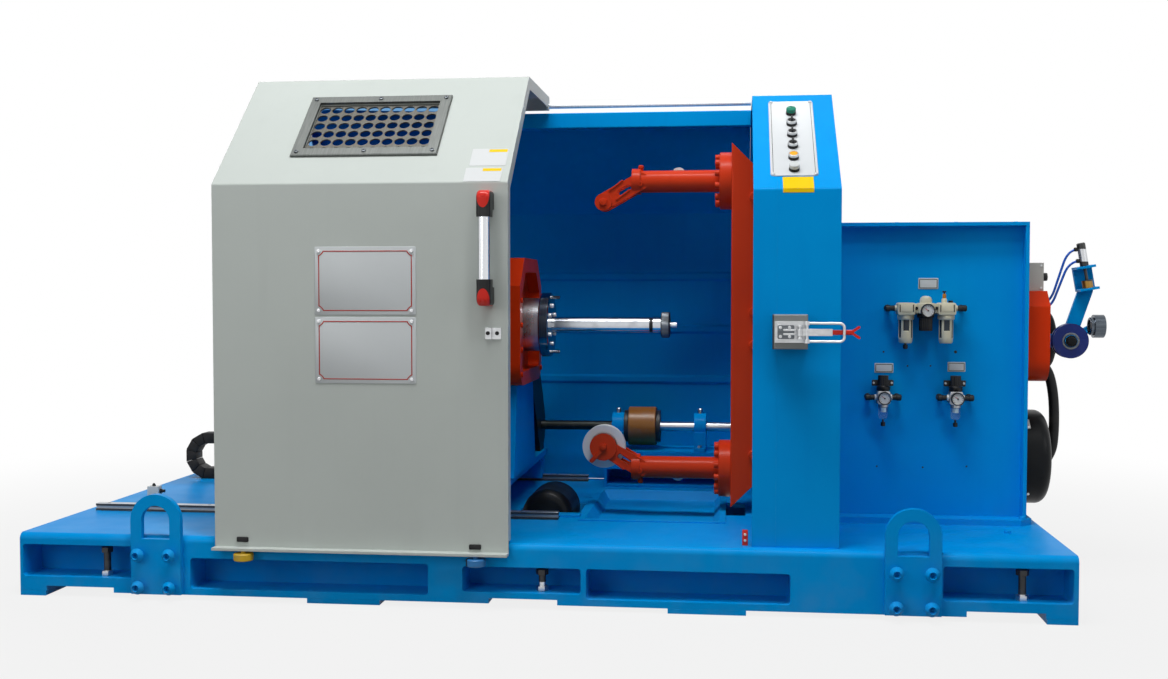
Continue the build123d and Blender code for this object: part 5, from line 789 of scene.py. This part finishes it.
def elbow_fitting(target, x, y, z, side, light, dark):
    """Push-in elbow at a housing's side: a pale ring, a dark body and a leg into the panel."""
    out = (side, 0, 0)
    stamp(target, solid((9, 0), (10, 1), (10, 7), steps=20), facing(at(x, y, z), out), light)
    stamp(target, solid((9, 0), (9, 14), (10.5, 15), (10.5, 27), (8, 30), steps=20),
          facing(at(x + side * 7, y, z), out), dark)
    leg = PANEL_FACE - y
    stamp(target, solid((8, 0), (8, leg - 4), (11, leg - 3), (11, leg), steps=20), to_back(x + side * 26, y, z), dark)

CREAM, PANE, DARK, OIL = range(4)
unit = bmesh.new()
put = partial(stamp, unit)
bowl = caged_bowl(22.5, 76, [(0, 26, 0.0, 0.46), (64, 16, 0.0, 0.78), (-64, 16, 0.0, 0.78)])
collar = solid((26, 0), (27, 3), (27, 13), (25, 16))
for x in (AIR_X - AIR_PITCH, AIR_X + AIR_PITCH):
    put(slab(56, 40, 58, 7, 3), to_front(x, AIR_BACK, 895), CREAM)
    put(slab(32, 22, 1.2, 2, 0.4), to_front(x, AIR_FRONT, AIR_Z), CREAM)
    put(slab(3, 24, 0.6, 1), [to_front(x + side * 21, AIR_FRONT, AIR_Z) for side in (-1, 1)], DARK)
    put(collar, downwards(x, AIR_MID, 876), CREAM)
    put(bowl, downwards(x, AIR_MID, 860))
put(solid((4, 0), (4, 6), (8, 6), (8, 18), (6, 20), steps=20), downwards(AIR_X - AIR_PITCH, AIR_MID, 785), DARK)
put(slab(54, 34, 54, 6, 3), to_front(AIR_X, AIR_BACK, AIR_Z), CREAM)
put(turned([(0, 0), (19, 0), (19, 12), (16, 19), (9, 23), (0, 24)]), upwards(AIR_X, AIR_MID, 913), CREAM)
put(solid((25, 0), (27, 3), (27, 12), (22, 15)), downwards(AIR_X, AIR_MID, 880), DARK)
put(ribbed(21.5, 42, 22), downwards(AIR_X, AIR_MID, 866), DARK)
for x in (AIR_X - AIR_PITCH / 2, AIR_X + AIR_PITCH / 2):
    put(slab(16, 30, 46, 3, 1.5), to_front(x, AIR_BACK, AIR_Z), CREAM)
    put(bolt_head(5.5, 3, 20, 0.5), to_front(x, AIR_BACK - 46, AIR_Z), DARK)
put(slab(132, 30, PANEL_FACE - AIR_BACK, 4), to_front(AIR_X, PANEL_FACE, 892), CREAM)
put(solid((9, 0), (9, 9), (7, 14), steps=24), upwards(SIGHT_X, AIR_MID, 915), CREAM)
put(solid((4.5, 0), (5.5, 3), (5.5, 14), (4, 16), steps=20), upwards(SIGHT_X, AIR_MID, 928), OIL)
put(solid((3, 0), (3, 5), (6.5, 5), (6.5, 10), steps=20), upwards(SIGHT_X, AIR_MID, 943), DARK)
put(bolt_head(8, 7, 6), upwards(PLUG_X, AIR_MID, 915), DARK)
for side in (-1, 1):
    elbow_fitting(unit, AIR_X + side * 92, AIR_MID, AIR_Z, side, CREAM, DARK)
settle(unit, "air_preparation", "bed", [cream_plastic, smoked, black_plastic, amber],
       ["air_service_unit", "air_bowls", "air_fittings"])

# %% [markdown]
# Two smaller regulators sit below, each with a knob on top, a dial in front and a clear bowl with a
# drain. Real bowls are clear polycarbonate, so this one lets light through and is only faintly blue.
# %% Small regulators and gauges
clear_bowl = finish_from("clear_bowl", moulded, {"Plastic": shade(196, 222, 236), "Dust": shade(170, 190, 200),
                                                 "Gloss": 0.06}, 0.00002, Transmission_Weight=0.9, IOR=1.12)
cast_silver = metal("cast_silver", (168, 171, 174), (144, 147, 150), (60, 60, 60), gloss=0.36)
SMALL_X, SMALL_FRONT, SMALL_MID, SMALL_Z = (2704, 2934), 484, 505, 606
regulators = bmesh.new()
put = partial(stamp, regulators)
for x in SMALL_X:
    put(slab(42, 44, 42, 7, 3), to_front(x, AIR_BACK, SMALL_Z), 0)
    put(solid((20, 0), (22, 3), (22, 13), (18, 17)), upwards(x, SMALL_MID, 628), 1)
    put(ribbed(17, 33), upwards(x, SMALL_MID, 645), 1)
    put(slab(70, 20, 3, 3, 0.8), to_front(x, AIR_BACK, 652), 1)
    put(slab(26, 20, 14, 3, 1), to_front(x, PANEL_FACE, 640), 0)
    put(bolt_head(4, 3, 6), [to_front(x + side * 29, AIR_BACK - 3, 652) for side in (-1, 1)], 0)
    put(solid((15, 0), (16, 2), (16, 10), (13, 12)), downwards(x, SMALL_MID, 585), 0)
    put(solid((9, 0), (9, 16), steps=20), downwards(x, SMALL_MID, 574), 2)
    put(solid((3, 0), (3, 8), (7.5, 9), (7.5, 21), (5, 22), steps=20), downwards(x, SMALL_MID, 534), 1)
    for side in (-1, 1):
        elbow_fitting(regulators, x + side * 21, SMALL_MID, SMALL_Z, side, 2, 1)
settle(regulators, "air_regulators", "bed", [cast_silver, black_plastic, pulley_white],
       ["small_regulators"])
build("regulator_bowls", "bed", "clear_bowl", [clear_bowl],
      (turned([(0, 0), (15, 0), (15, 28), (13, 35), (8, 39), (0, 40)]),
       [downwards(x, SMALL_MID, 573.5) for x in SMALL_X]))
build("gauges", "bed", "gauge_face", [black_plastic, pulley_white, red_plastic],
      (dial(22), to_front(AIR_X, AIR_FRONT, 890)),
      (dial(21), [to_front(x, SMALL_FRONT, SMALL_Z) for x in SMALL_X]), replaced=["pressure_gauges"])
tags = bmesh.new()
for x, z, width, height in ((2849, 977, 64, 36), (2709.5, 700, 61, 32), (2941.5, 705, 57, 32)):
    stamp(tags, slab(width, height, 1.4, 2, 0.4), to_front(x, PANEL_FACE, z), 0)
    stamp(tags, notched_line(width - 5, height - 5, 2), to_front(x, PANEL_FACE - 1.4, z), 1)
for x, z, radius in ((2708, 753, 3), (2938, 754, 5), (2785, 707, 3), (2859, 708, 3), (2689, 375, 3), (2837, 374, 3),
                     (2977, 379, 3)):
    stamp(tags, solid((radius, 0), (radius - 0.4, 0.5), steps=16), to_front(x, PANEL_FACE, z), 2)
settle(tags, "panel_tags", "bed", [plate_silver, frame_metal, black_plastic])

# %% [markdown]
# The drive end shows a motor with a cooling grille and a bare rating plate, an inlet wheel on a ball
# bearing and a switch box with its lid screws. The grille is one slot stamped round three circles, and
# the bearing is a spun ring, so both follow their round parts exactly.
# %% Drive end
MOTOR_END, MOTOR_BOLTS, MOTOR_Y, MOTOR_Z = 3262, 3190, 735, 392
grille = bmesh.new()
for radius, count in ((42, 10), (72, 18), (102, 26)):
    stamp(grille, slab(7, 22, 1, 3), [facing(at(MOTOR_END, y, z), RIGHT, spoke)
                                      for y, z, spoke in circle(count, radius, MOTOR_Y, MOTOR_Z, 0)], 0)
stamp(grille, bolt_head(6, 4, 6), [facing(at(MOTOR_BOLTS, y, z), spoke, RIGHT)
                                   for y, z, spoke in circle(4, 157, MOTOR_Y, MOTOR_Z)], 1)
stamp(grille, slab(30, 42, 1.2, 2, 0.3), facing(at(3181, MOTOR_Y - 104.5, MOTOR_Z + 119), (0, -104.5, 119)), 2)
settle(grille, "motor_fittings", "bed", [rubber_black, zinc, plate_silver])
WHEEL_X, WHEEL_Z, WHEEL_FRONT = 3335, 786, 678
build("wheel_bearing", "inlet_wheel", "polished_steel", [rail_steel],
      (turned([(21.5, 0), (28, 0), (28, 1.2), (26, 2), (21.5, 1)], 40), to_front(WHEEL_X, WHEEL_FRONT, WHEEL_Z)))
build("wheel_nut", "bed", "dark_plastic", [motor_black],
      (solid((19, 0), (19, 0.8)), to_front(WHEEL_X, 671.7, WHEEL_Z)),
      (bolt_head(15, 7, 6), to_front(WHEEL_X, 671, WHEEL_Z)))
LID_X, LID_FACE, LID_Z, INLET_X = 3194, 635, 999.5, 3409
build("guard_fittings", "bed", "zinc_plate", [zinc, black_plastic, tube_steel],
      (bolt_head(4, 2.5, 16, 0.5), [to_front(LID_X + u, LID_FACE, LID_Z + v) for u, v in corners(64, 74)], 0),
      (solid((17, 0), (17, 2), (13.6, 4), (13.6, 16), (12, 18.6)), to_right(3236, 675, LID_Z), 1),
      (solid((6, 0), (7, 1), (7, 9), (5, 11), steps=20),
       [to_left(x, TUBE_Y, z) for x, z in ((3360, 1052.4), (3353, 1090.8))], 1),
      (solid((8, 0), (8, 8), (5.5, 10), steps=6), [to_right(3240, TUBE_Y, z) for z in (893, 911)], 1),
      (turned([(30.3, 0), (38.6, 0), (38.6, 33), (37, 34.5), (30.3, 34.5)], 48),
       to_right(INLET_X, AXIS_Y, AXIS_Z), 2))

# %% [markdown]
# Screws hold the latch base on its block. A raised pad with four bolts and two short links stand on the
# base, low enough that the lever swings over them.
# %% Latch screws
BASE_FACE, PAD_PROUD = -27, 6
build("latch_screws", "bed", "zinc_plate", [zinc, rail_steel],
      (bolt_head(6.5, 4, 6), [to_front(2349, BASE_FACE, AXIS_Z + v) for v in (-20, 20)]),
      (slab(48, 40, PAD_PROUD, 4, 1.5), to_front(2369, BASE_FACE, AXIS_Z), 1),
      (bolt_head(5, 4, 6), [to_front(2366 + u, BASE_FACE - PAD_PROUD, AXIS_Z + v) for u, v in corners(26, 26)], 0),
      (slab(38, 6, 9, 2.5, 1), [to_front(2380, BASE_FACE, AXIS_Z + v) for v in (-6, 6)], 0))

# %% [markdown]
# The take-up grips the bobbin between a driver flange and a nut. Socket screws hold the flange on its
# polished drum and turn with it; two rows of screws close the housing and ride on the carriage.
# %% Take-up screws
DRIVER_FACE, HOUSING_FACE, DRUM_START, DRUM_LONG, CARRIAGE_TOP = 1586, 1512, 1478, 72, 325
RING_X, NUT_X, ROW_OUT = 1928, 1971, 211
build("driver_screws", "spindle", "polished_steel", [zinc, black_plastic, rail_steel, drum_chrome],
      (bolt_head(8, 6, 20, 0.55), [to_right(DRIVER_FACE, y, z) for y, z, _ in circle(6, 66, AXIS_Y, AXIS_Z)]),
      (turned([(24.6, 0), (25.6, 0), (25.6, 12), (24.6, 12)]), to_right(RING_X, AXIS_Y, AXIS_Z), 1),
      (ribbed(44.8, 25, 64, 0.98), to_right(NUT_X, AXIS_Y, AXIS_Z), 2),
      (turned([(60, 0), (90, 0), (93, 3), (93, DRUM_LONG), (60, DRUM_LONG)]),
       to_right(DRUM_START, AXIS_Y, AXIS_Z), 3))
build("carriage_screws", "carriage", "zinc_plate", [guard_orange, zinc],
      (bolt_head(9, 6, 6),
       [to_right(HOUSING_FACE, AXIS_Y + out, z) for out in (-ROW_OUT, ROW_OUT) for z in (672, 755, 838, 921)], 0),
      (bolt_head(8, 6, 20, 0.55),
       [upwards(x, y, CARRIAGE_TOP) for x in (1026, 1076, 1396, 1446) for y in (415, 445, 1285, 1315)], 1))

# %% [markdown]
# On the lower fork a thin red finger keeps the wire on its pulley, and each front cheek has a lip along
# both edges. All are slabs that are turned to lie along the fork; the lower fork mirrors the upper one.
# %% Fork finger and lips
finger = stamp(bmesh.new(), slab(15, 78, 5, 7, 1), facing(at(1752, 656, 387), FRONT, (48, 0, 53)))
along, across = Vector((97, 0, 71)).normalized(), Vector((-71, 0, 97)).normalized()
for side, middle, length in ((1, 68, 60), (-1, 80, 48)):
    for edge in (-20, 20):
        place = Vector((PIN_X, 662, 0)) + along * middle + across * edge
        height = AXIS_Z + side * (PIN_RADIUS + place.z)
        stamp(finger, slab(6, length, 4, 2, 1.5),
              facing(at(place.x, place.y, height), FRONT, (along.x, 0, side * along.z)))
settle(finger, "fork_lips", "rotor", [rotor_red])

# %% [markdown]
# Small things stand on the bed: a sensor box by the rails, a red end stop for the hood, hexagon bolts on
# the motor pad and the sunk screws of the rails. The rail screws lie almost flush, because the
# carriage runs over them. A sill before the traverse motor and a tray under it close its opening.
# %% Bed fittings
DECK, RAIL_TOP, RAIL_Y, SENSOR_Y, STOP_X = 197, 222, (430, 1300), 717, 2255.5
PIT_X, PIT_Y, PIT_WIDE, PIT_DEEP, PIT_WALL, WALL_Z = 1595, 620, 214, 264, 96, 134
build("bed_fittings", "bed", "zinc_plate", [push_white, black_plastic, red_plastic, zinc, machine_blue],
      (slab(44, 30, 41, 3, 2), upwards(109, SENSOR_Y, DECK), 0),
      (solid((7, 0), (7, 3), (3, 10), steps=20), upwards(107, SENSOR_Y, DECK + 41), 1),
      (solid((9, 0), (9, 6), (6, 8), (6, 18), steps=6), to_right(131, SENSOR_Y, 220), 1),
      (slab(17, 10, 46, 2, 1.5), upwards(STOP_X, 60, DECK), 2),
      (bolt_head(4, 2, 16, 0.5), [to_front(STOP_X, 55, z) for z in (212, 230)], 3),
      (bolt_head(11, 9, 6), [upwards(3072, 350, DECK), upwards(3147, 496, 217), upwards(3072, 1000, 217)], 4),
      (solid((6, 0), (5.8, 0.2), steps=16),
       [upwards(x, y, RAIL_TOP) for x in range(80, 1640, 120) for y in RAIL_Y], 1),
      (slab(230, 45, 9, 2, 1.5), upwards(PIT_X, 492.5, DECK), 4),
      (slab(PIT_WIDE, PIT_DEEP, 4), upwards(PIT_X, PIT_Y, 84), 4),
      (slab(PIT_WIDE, PIT_WALL, 4), [to_front(PIT_X, y, WALL_Z) for y in (492, 752)], 4),
      (slab(PIT_DEEP, PIT_WALL, 4), [to_right(x, PIT_Y, WALL_Z) for x in (1488, 1698)], 4))

# %% [markdown]
# The cable chain is made of closed links that can't bend themselves, so its turn is a polygon. One
# link is a cube whose inner edges move towards its middle where it meets a turned neighbour. Twelve such
# links would close a ring; five of them and two straight rows follow the frame's chain. The upper row
# goes on to a pad on the carriage and stays where it is built, tied to no body.
# %% Cable chain
CHAIN_X, CHAIN_Z, CHAIN_Y, CHAIN_WIDE = 118, 289, 1217, 64
BEND_OUTER, LINK_HIGH, TURN, LINK_GAP = 92, 42, pi / 6, 1.2
UPPER_RUN, UPPER_LINKS, LOWER_RUN, LOWER_LINKS = 930, 18, 420, 8
CARRIAGE_EDGE, TOW_LONG = 996, 50
LINK_LONG = 2 * BEND_OUTER * tan(TURN / 2)

def chain_link(long, mitres):
    """Link along x with its outer face up; mitres says which ends, -1 or 1, lean inwards."""
    shape = bmesh.new()
    bmesh.ops.create_cube(shape, size=1)
    bmesh.ops.scale(shape, vec=(long - LINK_GAP, CHAIN_WIDE, LINK_HIGH), verts=shape.verts)
    for end in mitres:
        inner = [v for v in shape.verts if v.co.x * end > 0 and v.co.z < 0]
        bmesh.ops.translate(shape, vec=(-end * LINK_HIGH * tan(TURN / 2), 0, 0), verts=inner)
    soften(shape, shape.edges[:], 1.5)
    return shape

def on_bend(angle):
    """Place of a link whose outward direction stands at this angle from x."""
    out = Vector((cos(angle), 0, sin(angle)))
    middle = Vector((CHAIN_X, CHAIN_Y, CHAIN_Z)) + out * (BEND_OUTER - LINK_HIGH / 2)
    return facing(at(*middle), out, BACK)

def chain_run(shape, angle, run, count):
    """Straight links that follow the bend in x."""
    pitch = (run - LINK_LONG / 2) / count
    for step in range(count):
        offset = (LINK_LONG / 2 + (step + 0.5) * pitch) / 1000
        stamp(shape, chain_link(pitch, ()), Matrix.Translation((offset, 0, 0)) @ on_bend(angle))
    return shape

chain = bmesh.new()
for step in range(4, 9):
    stamp(chain, chain_link(LINK_LONG, (-1, 1)), on_bend(step * TURN))
for angle, mitre in ((pi / 2, -1), (3 * pi / 2, 1)):
    stamp(chain, chain_link(LINK_LONG, (mitre,)), on_bend(angle))
chain_run(chain, 3 * pi / 2, LOWER_RUN, LOWER_LINKS)
settle(chain, "chain_links", "bed", [rubber_black], ["energy_chain"])
upper_z = CHAIN_Z + BEND_OUTER - LINK_HIGH
settle(chain_run(bmesh.new(), pi / 2, UPPER_RUN, UPPER_LINKS), "chain_upper_run", "bed",
       [rubber_black], reach=("carriage", at(CHAIN_X + LINK_LONG / 2, CHAIN_Y, upper_z),
                              at(CARRIAGE_EDGE, CHAIN_Y, upper_z)))
tow_place = upwards(CARRIAGE_EDGE + TOW_LONG / 2 + 4, CHAIN_Y, CARRIAGE_TOP)
build("chain_tow", "carriage", "zinc_plate", [rail_steel, zinc],
      (slab(TOW_LONG, CHAIN_WIDE + 36, upper_z - CARRIAGE_TOP, 4, 1.5), tow_place, 0),
      (bolt_head(6, 4, 6),
       [tow_place @ shift(u, v, upper_z - CARRIAGE_TOP) for u, v in corners(30, CHAIN_WIDE + 20)], 1))

# %% [markdown]
# Behind the bow runs the shaft that drives the take-up, through two bearing brackets and a coupling.
# Feet with bolts hold the brackets, and each bracket has a grease nipple on top.
# %% Rear shaft fittings
SHAFT_Y, SHAFT_Z, BENCH_TOP = 1250, 425, 335
brackets = bmesh.new()
for x in (1771, 2089):
    for side in (-1, 1):
        foot = upwards(x, SHAFT_Y + side * 75, BENCH_TOP)
        stamp(brackets, slab(42, 26, 16, 3, 2), foot, 0)
        stamp(brackets, bolt_head(9, 8, 6), foot @ shift(0, 0, 16), 1)
    stamp(brackets, nipple, upwards(x, SHAFT_Y, SHAFT_Z + 51), 1)
settle(brackets, "bracket_feet", "bed", [machine_blue, zinc])

# %% [markdown]
# Sheet covers close the back. Rows of pan-head screws follow their edges, as anyone who opens the
# machine would expect. A row is spread evenly from its first to its last place. The rear cover stands
# a little further out than the headstock, so an end flange closes the strip between the two.
# %% Cover screws
def row(first, last, count):
    return [first + (last - first) * step / (count - 1) for step in range(count)]

COVER_BACK, DRIVE_BACK, CABINET_BACK, DRIVE_TOP = 1385, 935, 1352, 1175
FLANGE_START, FLANGE_SHEET = 2269, 0.0055
FLANGE_LINE = ((920, 1589), (988, 1589), (1380, 1259), (1380, 198), (1342, 198), (1342, 1246), (900, 1577))
covers = stamp(bmesh.new(), bolt_head(7, 4, 20, 0.45), [
    *(to_back(x, COVER_BACK, z) for z in (236, 700, 1236) for x in row(650, 2250, 8)),
    *(to_back(x, DRIVE_BACK, z) for z in (240, 690, 1140) for x in row(2552, 3138, 4)),
    *(upwards(x, y, DRIVE_TOP) for x in row(2560, 3130, 4) for y in (570, 910)),
    *(to_back(x, CABINET_BACK, z) for x in (2370, 2505) for z in row(240, 1215, 4))])
flange = bmesh.new()
flange.faces.new([flange.verts.new(at(FLANGE_START, y, z)) for y, z in FLANGE_LINE])
thicken(flange, (FLANGE_SHEET, 0, 0))
bmesh.ops.triangulate(flange, faces=flange.faces)
stamp(covers, flange, Matrix.Identity(4))
settle(covers, "cover_screws", "bed", [machine_blue])
